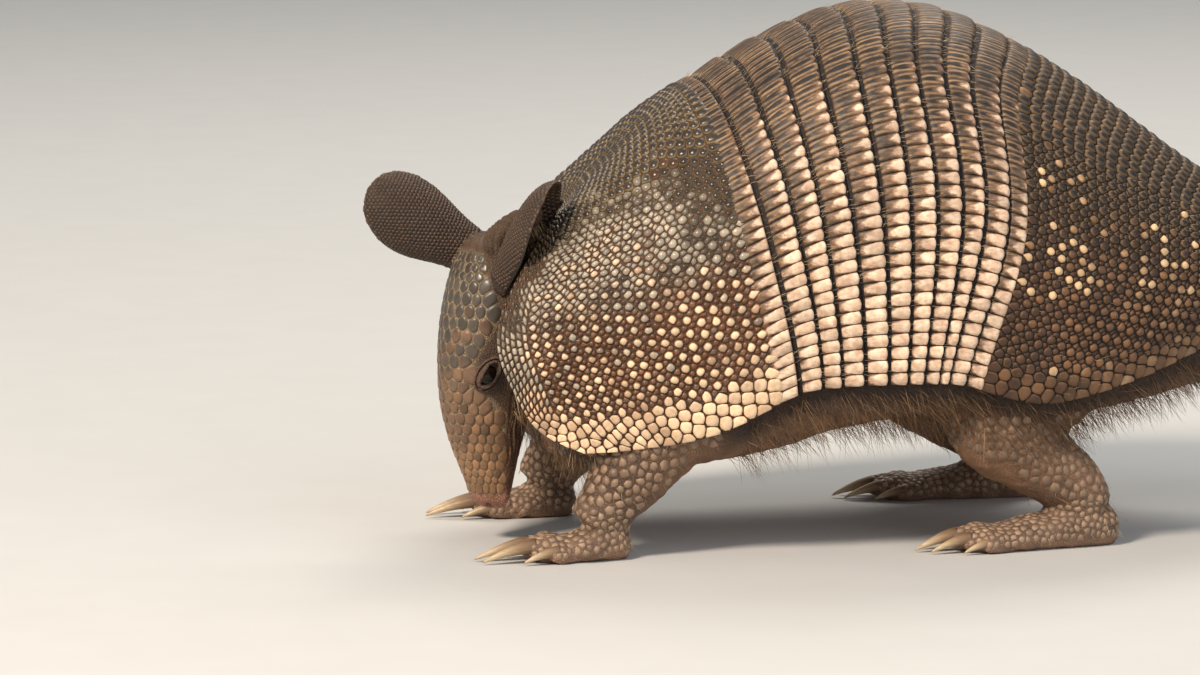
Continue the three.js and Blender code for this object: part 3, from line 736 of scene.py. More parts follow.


# Front shield: dark olive brown on the back, silvery tan above the flank, partly its own tone and partly a painted
# sheen, cream domes in golden brown below.
SHIELD_HORN = horn("keratin_front_shield", "#3d2716", "#8c7856", "#3a3129", "#4b3926", "#aa9f8d", "#94663e", "#efcda8",
                   "#6c3f1c", rough=(0.26, 0.54), edge=(0.24, 0.54), shrink=0.24)
# Rear shield: nearly black brown with olive rims, its own dark horn made darker still as painted shade, and scattered
# cream domes on the flank.
REAR_HORN = horn("keratin_rear_shield", "#1b120a", "#614a2e", "#1a120c", "#5a3f27", "#8c6742", "#7c5634", "#dab98e",
                 "#523118", rough=(0.48, 0.68), edge=(0.42, 0.78), shrink=0.15)
BAND_HORN = band_horn()
# Head shield: slate between tan outlines on the brow, warm brown down the snout.
HEAD_HORN = horn("keratin_head_shield", "#907e62", "#9b896c", "#504941", "#9c7b58", "#735843", "#aa8862", "#96704f",
                 "#4d3526", rough=(0.3, 0.6), edge=(0.1, 0.28), pale_edge=(0.1, 0.28), grain=2.6)
# Ears: dark brown leather set with small granules.
EAR_HORN = horn("keratin_ear", "#6a503a", "#604833", "#2e231b", "#6a503a", "#3e3026", "#6a503a", "#4f3c2f", "#2a201a",
                rough=(0.45, 0.65), edge=(0.36, 0.72), pale_edge=(0.36, 0.72))
# Legs: dusty brown pebbles, paler on the feet.
LEG_HORN = horn("keratin_leg", "#5a4637", "#6b5544", "#7b6350", "#6d5643", "#866d57", "#755c47", "#9a8068", "#5f4432",
                rough=(0.45, 0.65))
# Tail: dark horn rings, browner along their rear rows.
TAIL_HORN = horn("keratin_tail", "#20160f", "#5f4a37", "#3a2f27", "#4a3528", "#6b5643", "#5c4432", "#9b8468", "#4d3526")
# The dark hide that shows in the grooves, browner under the front shield.
PLATE_SKIN = hide("skin_between_scutes", "#140d09", "#281a13", wrinkle=1.2, bump=0.00015)
FRONT_SKIN = hide("skin_under_front_shield", "#3f2b1d", "#604530", wrinkle=1.2, bump=0.00015)
# The animal's own hide: leathery, wrinkled and dull, coloured place by place.
SKIN = hide("armadillo_skin", None, None)
EYE_GLOSS, CLAW_HORN, HAIR = wet_eye(), claw_horn(), bristle_hair()


# ---- The shell ----

BASE = -0.5  # the surface that carries the scutes lies under the shell's own
FRONT_END, REAR_START = FIRST_BAND - 0.3, LAST_BAND + 0.26  # the shields' own scutes end and begin here
RIBS = 6  # narrow rows along the front edge, parted by deep grooves
CORNER = 0.87  # down the flank from here the front shield's corner is rounded off


def carrier(name, first, last, rows, nodes, lift=lambda a: BASE, trim=lambda u, t: u, hide_material=PLATE_SKIN):
    """The plate of a shield or band under its scutes."""
    mesh = spread(name, rows, 120, lambda a, b: shell(trim(first + (last - first) * a, b * 2 - 1), b * 2 - 1, lift(a)))
    surface = surface_of(mesh)
    mesh = with_modifiers(mesh, ("SOLIDIFY", {"thickness": PLATE + BASE, "offset": -1.0}))
    finish_piece(name, mesh, hide_material, nodes)
    return surface


def shield_sites(rows, pitch, small_from, tile_from, ribs):
    """Sites of a shield: (u, t, is large, row). rows are (station, row length); small scales lie between
    the large ones, except in the ribs along the front edge and beyond tile_from down the flanks."""
    sites = []
    for index, (station, length) in enumerate(rows):
        count = max(6, int(round(2 * arch_length(station) / pitch(station))))
        at = (np.arange(count) + 0.25 + 0.5 * (index % 2)) / count * 2 - 1
        at = at[np.abs(at) < 0.995]
        jitter = rng.normal(0, 0.05, (2, len(at)))
        gap = 2 / count
        sites.append((station + jitter[0] * length, at + jitter[1] * gap, np.ones(len(at), bool), index + 0 * at))
        if index < ribs:
            continue
        between = at + gap / 2
        between = between[(np.abs(between) < tile_from) & (np.abs(between) > small_from)]
        for way in (-1, 1):
            jitter = rng.normal(0, 0.06, (2, len(between)))
            sites.append((station + way * length / 3 + jitter[0] * length, between + jitter[1] * gap,
                          np.zeros(len(between), bool), index + 0 * between))
    return (np.concatenate(k) for k in zip(*sites))


def shield(name, node, first, last, rows, pitch, small_from, tile_from, look, horn_material, sizes, heights,
           ribs=0, trim=lambda u, t: u, hide_material=PLATE_SKIN):
    """A shield's plate, and its scutes in a left and a right half. sizes and heights are of the large scutes and
    of the small ones between them; beyond tile_from down the flanks the large ones are flat tiles."""
    surface = carrier(name + "_plate", first, last, int((last - first) * 24), [node], trim=trim,
                      hide_material=hide_material)
    u, t, large, row = shield_sites(rows, pitch, small_from, tile_from, ribs)
    # Every second rib ends where the tiles of the lower corner begin.
    keep = (u > first + 0.02) & (u < last - 0.02) & ~((row < ribs) & (row % 2 == 1) & (np.abs(t) > tile_from - 0.01))
    u, t, large, row = (k[keep] for k in (u, t, large, row))
    z = np.abs(t)
    look, u = look(u, z, large), trim(u, t)
    normal, back = shell_frame(u, t)
    weights = np.where(large, *sizes(u, z))
    low = ease(tile_from - 0.06, tile_from, z)
    tall = np.where(large, *heights) * rng.uniform(0.85, 1.15, len(u))
    tall = tall * (1 - 0.3 * low) * np.where(row < ribs, 0.75, 1.0)
    # The ribs along the front edge are straight and parted by deep grooves, and the tiles near them a little.
    near_edge = low * ease(2.4, 1.4, u)
    stretch = np.where(row < ribs, 0.45 + 0.45 * low, 1 - 0.1 * near_edge)
    gap = np.stack([0.2 - 0.08 * low, np.where(row < ribs, 1.15 - 0.85 * low, 0.2 + 0.16 * near_edge)], -1)
    tilt = 0.3 * ease(tile_from - 0.05, tile_from, z)
    domed, tiled = large & (z <= tile_from), large & (z > tile_from)
    roots = chart("shell", u / LAST, t / 2 + 0.5)
    for half, inside in (("left", t < 0), ("right", t >= 0)):
        forms = (domed & inside, 12, DOME), (tiled & inside, 12, TILE), (~large & inside, 6, BEAD)
        mesh = scutes(name, surface, shell(u, t, BASE), normal, back, roots, weights, tall, look,
                      stretch=stretch, gap=gap, power=9, limit=2.2, tilt=tilt, forms=forms)
        finish_piece(f"{name}_{half}", mesh, horn_material)


def row_stations(first, last, ribs, rib_step, step):
    """Row stations of a shield: the ribs along its front edge, then rows whose length is step(station)."""
    stations = [(first + rib_step * (k + 0.5), rib_step) for k in range(ribs)]
    at = first + ribs * rib_step
    while at + 0.6 * step(at) < last:
        stations.append((at + step(at) / 2, step(at)))
        at += step(at)
    return stations


def front_look(u, z, large):
    """Dark over the back, silvery domes above the flank, cream lower down, and reddish brown between them; a painted
    highlight pales some of the silvery domes, and a painted shadow of the ear partly darkens the front rows.
    """
    n = len(u)
    pale = np.interp(z, [0.2, 0.44, 0.58, 0.68, 0.84, 0.9], [-0.1, 0.42, 0.47, 0.7, 0.78, 1.05])
    pale = pale + rng.normal(0, 0.08, n)
    # The front rows are darker: low down this is their own grey-brown, higher up it is partly a painted shadow of the
    # ear. The top rows near the first band are darker too.
    pale = pale - 0.25 * ease(0.5, 0.2, u) * ease(0.92, 0.7, z) - 0.3 * ease(1.7, 2.5, u) * ease(0.6, 0.48, z)
    # Painted highlight: the silvery domes from behind the ear to the shield's middle are made paler.
    pale = pale + 0.14 * ease(0.3, 0.6, u) * ease(2.1, 1.4, u) * ease(0.3, 0.42, z) * ease(0.66, 0.56, z)
    pale = np.where(large, pale, pale * (0.95 - 0.6 * ease(0.48, 0.64, z)))
    brown = np.where(large, 0.0, 0.9 * ease(0.54, 0.7, z))
    patch = ripple(shell(u, z), 26, 5)
    brown = np.where((patch > 0.6) & large & (z > 0.3) & (rng.random(n) < 0.6), 0.45, brown)
    return np.stack([np.clip(pale, 0, 1), rng.random(n), brown], -1)


def rear_look(u, z, large):
    """Dark all over and browner low down, with cream domes scattered on the flank."""
    n = len(u)
    pale = np.interp(z, [0.42, 0.62, 0.76], [-0.1, 0.18, 0.46]) * ease(7.0, 8.6, u) + rng.normal(0, 0.11, n)
    share = 0.32 * ease(0.42, 0.52, z) * ease(0.84, 0.66, z) * ease(10.5, 9.0, u)
    share = share + 0.1 * ease(0.6, 0.7, z) * ease(0.95, 0.85, z)
    bright = (rng.random(n) < share) & large
    pale = np.where(bright, rng.uniform(0.55, 1.0, n), pale) * np.where(large, 1.0, 0.5)
    brown = np.where(bright, 0.0, 0.6 * ease(0.45, 0.8, z))
    return np.stack([np.clip(pale, 0, 1), rng.random(n), brown], -1)


def round_corner(u, t):
    """The front shield's lower front corner is rounded off."""
    return u + 0.55 * (np.maximum(np.abs(t) - CORNER, 0) / (1 - CORNER)) ** 2 * np.maximum(1 - u / 1.6, 0)


def front_pitch(u):
    return 2.8 + 0.7 * ease(0.25, 0.5, u) + 1.3 * ease(0.2, 2.2, u)


def front_sizes(u, z):
    return 1.28 + 0.4 * ease(0.3, 2.2, u) - 0.14 * ease(0.5, 0.62, z), 0.8 + 0.4 * ease(0.62, 0.42, z)


FRONT_ROWS = row_stations(0.0, FRONT_END, RIBS, 0.066, lambda u: 0.11 + 0.035 * ease(0.4, 2.0, u))
REAR_ROWS = row_stations(REAR_START, LAST, 0, 0.2, lambda u: 0.13)
shield("front_shield", "scapular_shield", 0.0, FIRST_BAND, FRONT_ROWS, front_pitch, 0.34, 0.9, front_look,
       SHIELD_HORN, front_sizes, (1.25, 0.6), RIBS, round_corner, FRONT_SKIN)
shield("rear_shield", "pelvic_shield", LAST_BAND, LAST, REAR_ROWS, lambda u: 4.6, 0.4, 0.93, rear_look,
       REAR_HORN, lambda u, z: (1.65 + 0 * u, 0.85 + 0 * u), (1.1, 0.5))

TILES = 72  # plates in a band
# The lines of vertices in a plate: along it from its front edge, and across it from side to side.
A = np.array([0.0, 0.0, 0.05, 0.13, 0.24, 0.37, 0.5, 0.63, 0.76, 0.87, 0.95, 1.0, 1.0])
B = np.array([-1.0, -1.0, -0.9, -0.7, -0.42, -0.14, 0.14, 0.42, 0.7, 0.9, 1.0, 1.0])


def tiles(name, first, last, rise, cream_from=0.0, joint=1.0):
    """A row of band plates from station first to last: fluted over the back, pillowed down the flank."""
    a, b = np.meshgrid(A, B, indexing="ij")
    inner = np.ones_like(a)
    inner[[0, -1]] = inner[:, [0, -1]] = 0
    a, b, inner = (k.ravel()[None] for k in (a, b, inner))
    pitch = 2 / TILES
    centre = ((np.arange(TILES) + 0.5) * pitch - 1)[:, None]
    draw = rng.random((TILES, 6))
    z = np.abs(centre)
    across = b * (1 - 0.05 * (2 * a - 1) ** 8) * (0.997 - 0.012 * draw[:, :1]) * (1 - 0.055 * ease(0.34, 0.6, z))
    reach = (0.17 + (0.8 + 0.05 * draw[:, 1:2]) * a - 0.06 * b * b * a) * joint + (1 - joint) * (0.03 + 0.94 * a)
    u = first + (last - first) * reach
    low = ease(0.42, 0.72, z)
    edge = (1 - 0.5 * np.abs(b) ** 8) * (1 - (1 - a) ** 6) * (1 - a**14)
    lens = np.clip(1 - (np.abs(b) / (0.62 * np.sin(np.clip(a, 0.02, 0.98) * math.pi) ** 0.6)) ** 2, 0, 1)
    lines = 0.5 + 0.5 * np.cos((np.abs(b) - 0.72) * 2 * math.pi / 0.34)
    pillow = (1 - 0.8 * np.abs(b) ** 2.4) * (0.5 + 0.5 * a)
    fluted = 0.55 + 0.2 * lens + 0.08 * lines * (1 - lens)
    tall = (0.3 + low * 1.15 * pillow + (1 - low) * 0.8 * fluted) * np.clip(edge, 0, 1) ** 0.5
    points = shell(u, centre + across * pitch / 2, rise(reach) + np.where(inner > 0, tall, -GRIP))
    # The wedge is the plates' own cream pattern, and it also carries painted light: it begins high up the flank partly
    # as a painted highlight, and it leaves brown as painted shade at each plate's front end, where the band before
    # casts shade, and at its side joints.
    zero = np.interp(z, [0.21, 0.34, 0.57, 0.84], [1.35, 0.74, 0.34, -0.2]) + cream_from + 0.3 * (draw[:, 2:3] - 0.5)
    wedge = np.minimum((a - zero) / 0.6, 1.25) - 0.85 * (1 - low) * np.abs(b) ** 1.4 - 1.25 * low * np.abs(b) ** 3
    wedge = np.clip(0.5 + 0.45 * wedge, 0, 1)
    lens_share = lens * ease(0.6, 0.4, z) * (0.5 + 0.5 * draw[:, 3:4])
    look = (wedge, lens_share, draw[:, 4:5], lines * inner * (0.6 + 0.4 * draw[:, 5:6]))
    look = np.stack([np.broadcast_to(k, (TILES, a.shape[1])) for k in look], -1)
    k = np.arange(len(A) * len(B)).reshape(len(A), len(B))
    quads = np.stack([k[:-1, :-1], k[1:, :-1], k[1:, 1:], k[:-1, 1:]], -1).reshape(-1, 4)
    rim = np.concatenate([k[0, :-1], k[:-1, -1], k[-1, :0:-1], k[:0:-1, 0]])[None]
    roots = chart("shell", u.mean(1) / LAST, centre[:, 0] / 2 + 0.5)
    made = Forms()
    made.add(points, look, roots[:, None] + np.stack([a - 0.5, b / 2], -1) * 2 * PATCH, quads, rim)
    finish_piece(name, made.mesh(name), BAND_HORN)


def band_rise(a):
    """Each band climbs towards its rear edge, which lies over the next one."""
    return BASE - 0.8 + 1.2 * a


def band_station(index):
    return FIRST_BAND + (LAST_BAND - FIRST_BAND) * index / BANDS


for _index in range(BANDS):
    _first, _last = band_station(_index), band_station(_index + 1)
    carrier(f"band_{_index + 1}_plate", _first - 0.02, _last + 0.004, 6, [f"band_{_index + 1}"], band_rise)
    tiles(f"band_{_index + 1}_scutes", _first, _last, band_rise)
# The shields meet the bands with one long row of the same make.
tiles("front_shield_last_row", FRONT_END, FIRST_BAND, lambda a: BASE + 0.0 * a, 0.15, 0.0)
tiles("rear_shield_first_row", LAST_BAND, REAR_START, lambda a: BASE + 0.0 * a, 0.25, 0.4)

# ---- The skin: one piece for all the flesh ----


def limb_capsule(limb, mirror, rows=60, columns=40, ends=(0.05, 0.05)):
    last = len(limb["x"]) - 1

    def place(a, angle, slim):
        ring = limb_surface(limb, a * last, angle, mirror)
        heart = (ring + limb_surface(limb, a * last, angle + math.pi, mirror)) / 2
        return heart + (ring - heart) * slim[:, None]

    return capsule("limb", rows, columns, place, ends)


def trunk_place(a, angle, slim):
    """The trunk lies under the shell down to its edge, and closes below it with the belly."""
    u = 0.12 + (LAST - 0.3) * a
    depth = PLATE + 0.9 + np.maximum(0, u - LAST_BAND) * 0.25
    turn = (angle / math.pi + 1) % 2 - 1
    edge = shell_point(u, np.where(turn < 0, -1.0, 1.0), depth)
    arch = shell_point(u, np.clip(turn / 0.6, -1, 1), depth)
    under = np.clip((np.abs(turn) - 0.6) / 0.4, 0, 1) * math.pi / 2
    belly_z = along(SHELL["belly_z"], u)
    x, y, z = edge.T
    low = np.stack([x, y * np.cos(under) ** 0.8, z - (z - belly_z) * np.sin(under) ** 0.8], -1)
    ring = np.where((np.abs(turn) <= 0.6)[:, None], arch, low)
    heart = np.stack([along(SHELL["shoulder_x"], u) + 8, 0 * u, (along(SHELL["ridge_z"], u) + belly_z) / 2], -1)
    return heart + (ring - heart) * slim[:, None]


def neck_place(a, angle, slim):
    t = a * 4
    centre = np.stack([along(NECK[k], t) for k in "xyz"], -1)
    across, above, below = (along(NECK[k], t) * slim for k in ("across", "above", "below"))
    return round_tube(centre, ACROSS, UP, across, above, below, angle)


def head_place(a, angle, slim):
    t = a * (len(HEAD["along"]) - 1)
    heart = on_head(along(HEAD["along"], t), 0, 0)
    return heart + (head_surface(t, angle) - heart) * slim[:, None]


def foot_meshes(foot, mirror):
    def pad(a, angle, slim):
        t = a * 3
        tall = along(foot["high"], t)
        centre = on_foot(foot, mirror, -along(foot["x"], t), 0, tall * 0.62)
        return round_tube(centre, ACROSS, UP, along(foot["half"], t) * slim,
                          tall * 0.7 * slim, tall * 0.8 * slim, angle)

    yield capsule("pad", 30, 32, pad, (0.25, 0.1))
    for reach, offset, half, _ in foot["toes"]:
        start = -foot["x"][-1] - 4

        def toe(a, angle, slim):
            centre = on_foot(foot, mirror, start + (reach - start) * a, offset * (0.75 + 0.25 * a), half * 1.1)
            knuckle = 1 + 0.12 * np.sin(math.pi * a) - 0.3 * a**4 + 0.07 * np.cos(a * 4 * math.pi)
            radius = half * knuckle * slim
            return round_tube(centre, ACROSS, UP, radius, radius, radius * 1.2, angle)

        yield capsule("toe", 24, 20, toe, (0.1, 0.12))


def ear_lump(ear):
    """The thick root of an ear, which its blade grows out of."""

    def place(a, angle, slim):
        s = -0.1 + 0.42 * a
        up = np.clip(s, 0, 1)
        ring = ear_surface(ear, up, np.sin(angle) * 0.8, np.cos(angle) * (1.6 - 1.5 * a))
        ring = ring + unit(np.array(ear["points"], float)) * (np.minimum(s, 0) * EAR["length"])[:, None]
        middle, one_side, other_side = (ear_surface(ear, up, 0 * s + x, 0 * s) for x in (0.0, 0.8, -0.8))
        heart = middle * 0.55 + 0.45 * (one_side + other_side) / 2
        return heart + (ring - heart) * slim[:, None]

    return capsule("ear_root", 24, 30, place, (0.3, 0.4))


def ear_fold(a, angle, slim):
    """The near ear's root: a fold of skin that rises from the crown and runs up the back of the ear."""
    line = [4, -2.5, -9.5, -15.5], [9.5, 7.2, 4.4, 2.2], [9.5, 15, 23, 30.5]
    centre = on_head(*(along(values, a * 3) for values in line))
    way = unit(on_head(-15, 2, 30) - on_head(3, 9, 10))
    side = unit(np.cross(way, LEFT))
    wide = np.interp(a, [0, 0.45, 1], [8.4, 7.8, 4.6]) * slim
    deep = np.interp(a, [0, 0.5, 1], [6.5, 4.6, 2.2]) * slim
    return round_tube(centre, side, np.cross(way, side), wide, deep, deep, angle)


def ear_blade(ear):
    def place(a, angle, slim):
        return ear_surface(ear, a, np.sin(angle) * slim, np.cos(angle) * (0.85 - 0.35 * a) * slim)

    return capsule("ear", 64, 56, place, (0.02, 0.07))


def edge_height(x):
    """The height of the shell's lower edge at x."""
    return np.interp(x, SHELL["edge_x"], SHELL["edge_z"])


def head_place_of(points):
    """Where points are by the head: along the snout, up the brow, out to the left, out from the head's axis,
    and round from the brow in degrees."""
    away = points - CROWN
    d, up, left = away @ SNOUT, away @ BROW, away @ LEFT
    return d, up, left, np.hypot(up, left), np.degrees(np.arctan2(np.abs(left), up))


SKIN_GRAIN = 1.45  # the size of the skin's faces
HIDDEN_DEPTH = 12  # how far above the shell's edge the skin is out of sight
TAIL_RINGS_FROM = 266  # the x from which rings hide the tail's skin


def flesh():
    """All the flesh melted into one closed mesh. The tail is slimmer than its rings."""
    tail = dict(TAIL)
    tail["across"] = tail["above"] = [w - 1.1 for w in TAIL["across"][:-1]] + [2.0]
    forms = [capsule("trunk", 120, 110, trunk_place, (0.03, 0.03)), capsule("neck", 50, 64, neck_place, (0.1, 0.15)),
             capsule("head", 120, 72, head_place, (0.08, 0.17)),
             limb_capsule(tail, 1, rows=240, columns=32, ends=(0.01, 0.01)),
             *(ear_lump(ear) for ear in EARS.values()), capsule("ear_fold", 30, 32, ear_fold, (0.3, 0.35))]
    for mirror in (1, -1):
        forms += [limb_capsule(FORELEG, mirror), limb_capsule(HINDLEG, mirror)]
        forms += [*foot_meshes(FOREFOOT, mirror), *foot_meshes(HINDFOOT, mirror)]
    return with_modifiers(joined("skin", forms), ("REMESH", {"mode": "VOXEL", "voxel_size": SKIN_GRAIN}),
                          ("SMOOTH", {"factor": 0.5, "iterations": 5}))


def thinned(mesh):
    """What the shell hides of the trunk, and the tail under its rings, need no detail."""
    x, _, z = coordinates(mesh).T
    under_shell = (x > 22) & (x < 255) & (z > edge_height(x) + HIDDEN_DEPTH)
    unseen = (under_shell | (x > TAIL_RINGS_FROM)).astype(float)
    settings = {"decimate_type": "COLLAPSE", "ratio": 1 - 0.9 * unseen.mean(), "vertex_group": "group",
                "vertex_group_factor": 10.0}
    return with_modifiers(mesh, ("DECIMATE", settings), group=unseen)


def finer_head(mesh):
    """All of the head but its brow gets smaller faces, for its folds."""
    bm = bmesh.new()
    bm.from_mesh(mesh)
    bpy.data.meshes.remove(mesh)
    co = np.array([v.co[:] for v in bm.verts])
    d, _, _, out, turned = head_place_of(co)
    fine = (d > -12) & (out < 27) & (co[:, 0] < -14) & ((d < 8) | (d > 85) | (turned > 46))
    edges = [e for e in bm.edges if fine[e.verts[0].index] and fine[e.verts[1].index]]
    bmesh.ops.subdivide_edges(bm, edges=edges, cuts=1, use_grid_fill=True, smooth=0.5)
    return mesh_of(bm, "skin")


def nostril(d, b, left, side):
    """1 in the middle of a nostril, falling to 0 round it."""
    up = b - 4.3
    out = left - side * 2.9 - side * 0.35 * up
    return np.exp(-((up / 1.5) ** 2) - (out / 1.15) ** 2) * ease(93, 95, d)


def folds(phase, power):
    """Waves from 0 to 1, one for each whole number of phase; a higher power makes narrower crests."""
    return (0.5 + 0.5 * np.sin(2 * math.pi * phase)) ** power


def cheek_folds(co, turned):
    """Folds 3.6 mm apart round a head of 16 mm radius, which run down from the ear to the jaw."""
    return folds(np.radians(turned) * 16 / 3.6 + 0.5 * ripple(co, 18, 3), 1.5)


def sculpt(mesh):
    """Folds, the mouth and the nostrils, pressed into the skin along its normals."""
    co, out = coordinates(mesh), normals_of(mesh)
    x, y, z = co.T
    d, b, left, thick, turned = head_place_of(co)
    head = ease(-14, -4, d) * ease(30, 24, thick) * (x < -14)
    # Cheek: folds that run down from the ear to the jaw.
    cheek = head * ease(72, 92, turned) * ease(92, 70, d) * ease(7, 12, np.hypot(d - EYE["along"], b - EYE["up"]))
    push = -cheek * 1.15 * cheek_folds(co, turned)
    # The ears' roots: close folds that run up towards the blades.
    root = ease(-26, -18, d) * ease(15, 9, d) * ease(34, 28, thick) * (x < -10)
    push -= root * 0.5 * folds((b - 0.5 * left) / 2.3 + 0.5 * ripple(co, 12, 7), 1.6)
    # Throat and chest: shallow cross folds.
    push -= ease(20, -10, x) * (1 - head) * 0.5 * folds(z / 4.2 + 0.8 * ripple(co, 22, 4), 2)
    # Mouth: a line from below the tip of the nose back along the jaw.
    mouth_b = np.interp(d, [50, 62, 80, 97], [-4.5, -5.2, -2.8, -1.6])
    push -= 0.75 * head * np.exp(-((b - mouth_b) / 0.75) ** 2) * ease(50, 58, d) * ease(98.5, 95, d)
    push += 0.35 * head * np.exp(-((b - mouth_b - 2.0) / 1.3) ** 2) * ease(56, 66, d) * ease(99, 94, d)
    # Nostrils at the tip, and the pad round them.
    push += 0.55 * head * ease(91, 94, d) * ease(3.5, 1.0, -b)
    for side in (-1, 1):
        push -= 2.6 * head * nostril(d, b, left, side)
    # Legs: creases round the joints, and loose skin on the trunk's underside.
    leg = ease(64, 50, z) * ease(14, 24, z) * (x > -40) * (x < 215) * (np.abs(y) > 28)
    push -= leg * 0.3 * folds(z / 3.6 + 0.5 * ripple(co, 14, 6), 2)
    push += 0.25 * ripple(co, 9, 8) * (1 - head) * ease(262, 250, x)
    co = co + out * push[:, None]
    co[:, 2] = np.maximum(co[:, 2], 0.05)
    place_vertices(mesh, co)


skin = finer_head(thinned(flesh()))
sculpt(skin)
LID = 7.2, 4.6  # half the length and half the width of the lids of an eye


def eye_frame(side):
    middle = on_head(EYE["along"], EYE["up"], side * EYE["out"])
    out = unit(LEFT * side * 0.96 + BROW * 0.22)
    long_way = unit(SNOUT * 0.86 + BROW * 0.5)
    long_way = unit(long_way - out * (long_way @ out))
    return middle, out, long_way, np.cross(out, long_way)


def eyelids(side):
    """Two thick lids round a slanting almond opening, folded down onto the eyeball and out into the cheek."""
    middle, out, long_way, wide_way = eye_frame(side)
    tree = tree_of(skin)
    stations = np.array([-0.14, 0.0, 0.08, 0.3, 0.55, 0.76, 0.9, 1.05, 1.2])
    over_ball = np.array([-0.5, 0.1, 0.5, 0.75, 0.5, 0.2, 0.0, 0.0, 0.0])
    over_skin = np.array([-9, -9, -9, 1.35, 1.3, 0.0, 1.15, 0.4, -0.9])

    def place(a, b):
        level = np.round(a * (len(stations) - 1)).astype(int)
        angle = b * 2 * math.pi
        c, s = np.cos(angle), np.sin(angle)
        opening = np.stack([4.3 * c, 2.1 * s * np.abs(s) ** 0.15], -1)
        outer = np.stack([LID[0] * c, LID[1] * s], -1)
        flat = opening + (outer - opening) * stations[level][:, None]
        ball = np.sqrt(np.maximum(EYE["radius"] ** 2 - (flat**2).sum(-1), 0.3)) + over_ball[level]
        points = []
        for (x, y), height, k in zip(flat, ball, level):
            start = middle + long_way * x + wide_way * y
            hit = tree.ray_cast(Vector(start + out * 14), Vector(-out), 30)[0]
            ground = (np.array(hit) - start) @ out if hit else 0.0
            points.append(start + out * (max(height, ground + over_skin[k]) if k < 5 else ground + over_skin[k]))
        return np.array(points)

    return spread("lids", len(stations) - 1, 48, place)


def tone(code):
    return np.array(linear(code)[:3])


def toward(colour, code, share):
    return colour + (tone(code) - colour) * np.clip(share, 0, 1)[:, None]


def colour_skin(mesh, blades, lids):
    """Colours the skin by place: warm tan below, slate on the brow, brown down the snout and pink at the nose, with
    painted shade under the shell's edge, in the nostrils, in the cheek's folds and in the fold of the lids.
    blades and lids are the numbers of the first vertex of the ears' blades and of the eyelids."""
    co = coordinates(mesh)
    x, y, z = co.T
    d, b, left, thick, turned = head_place_of(co)
    head = ease(-16, -6, d) * ease(31, 26, thick) * (x < -14)
    shade_under_edge = ease(-16, -4, z - edge_height(x)) * ease(20, 40, x) * ease(255, 235, x)
    colour = np.tile(tone("#8c6a50"), (len(co), 1))
    for code, share in (
            ("#a9826a", ease(62, 40, z) * (np.abs(y) < 40)),
            ("#4d3b2f", ease(24, -8, x) * 0.9),
            ("#5b4637", ease(205, 240, x)),
            # Painted shade: the skin just under the shell's edge is darkened.
            ("#3b2b21", shade_under_edge),
            ("#7a6251", ease(30, 10, z)),
            ("#a07f69", ease(7, 2, z) * (x > -60)),
            ("#2c211a", ease(256, 268, x)),
            ("#5a4636", head),
            ("#74513c", head * ease(50, 80, d)),
            ("#98856a", head * ease(4, -4, turned - np.interp(d, *HEAD_SHIELD_EDGE)) * ease(2, 8, d) * 0.85),
            ("#a8745f", head * ease(90, 97, d)),
            # Painted shade: the nostrils' shallow dents are painted nearly black.
            ("#1c120e", head * (nostril(d, b, left, 1) + nostril(d, b, left, -1)) * 1.3),
            ("#4a382e", head * np.exp(-((b - EYE["up"]) ** 2 + (d - EYE["along"]) ** 2) / 60) * 0.8)):
        colour = toward(colour, code, share)
    colour[blades:lids] = tone("#3a2c24")
    colour[lids:] = tone("#6a5243")
    for side in (1, -1):
        # Darker in the fold between the lids' two rings, as painted shade, and darker round the opening.
        middle, _, long_way, wide_way = eye_frame(side)
        away = co[lids:] - middle
        ring = np.hypot(away @ long_way / LID[0], away @ wide_way / LID[1])
        dark = np.exp(-((ring - 0.87) / 0.06) ** 2) * 0.85 + ease(0.66, 0.55, ring) * 0.85
        colour[lids:] = toward(colour[lids:], "#1f1510", dark * (np.linalg.norm(away, axis=-1) < 12))
    # Painted shade: the cheek's fold creases are darkened.
    cheek = head * ease(72, 92, turned) * ease(92, 70, d)
    colour = toward(colour, "#2a1c14", cheek * cheek_folds(co, turned) * 0.8)
    colour = np.clip(colour * (1 + 0.12 * ripple(co, 11, 12))[:, None], 0, 1)
    paint(mesh, "tint", np.concatenate([colour, np.ones((len(co), 1))], 1))


_blades = [ear_blade(ear) for ear in EARS.values()]
_lids = [eyelids(side) for side in (1, -1)]
_blades_from = len(skin.vertices)
_lids_from = _blades_from + sum(len(blade.vertices) for blade in _blades)
skin = joined("skin", [skin, *_blades, *_lids])
colour_skin(skin, _blades_from, _lids_from)
FLESH = ["trunk", "neck", "head", "ear_left", "ear_right", "tail_1", "tail_2", "tail_3", "tail_tip"]
FLESH += [f"{part}_{side}" for part in ("foreleg", "forefoot", "hindleg", "hindfoot") for side in ("left", "right")]
on_skin = surface_of(skin)
SKIN_CO, SKIN_OUT = coordinates(skin).copy(), normals_of(skin).copy()
finish_piece("skin", skin, SKIN, FLESH)

# ---- Eyes and claws ----

for _name, _spec in EARS.items():
    _bm = bmesh.new()
    bmesh.ops.create_uvsphere(_bm, u_segments=32, v_segments=20, radius=EYE["radius"])
    bmesh.ops.translate(_bm, verts=_bm.verts, vec=Vector(eye_frame(_spec["side"])[0]))
    finish_piece(f"eyeball_{_name}", mesh_of(_bm, "eye"), EYE_GLOSS, [f"eye_{_name}"])

CLAW_ROOT = 4  # how deep a claw starts inside its toe


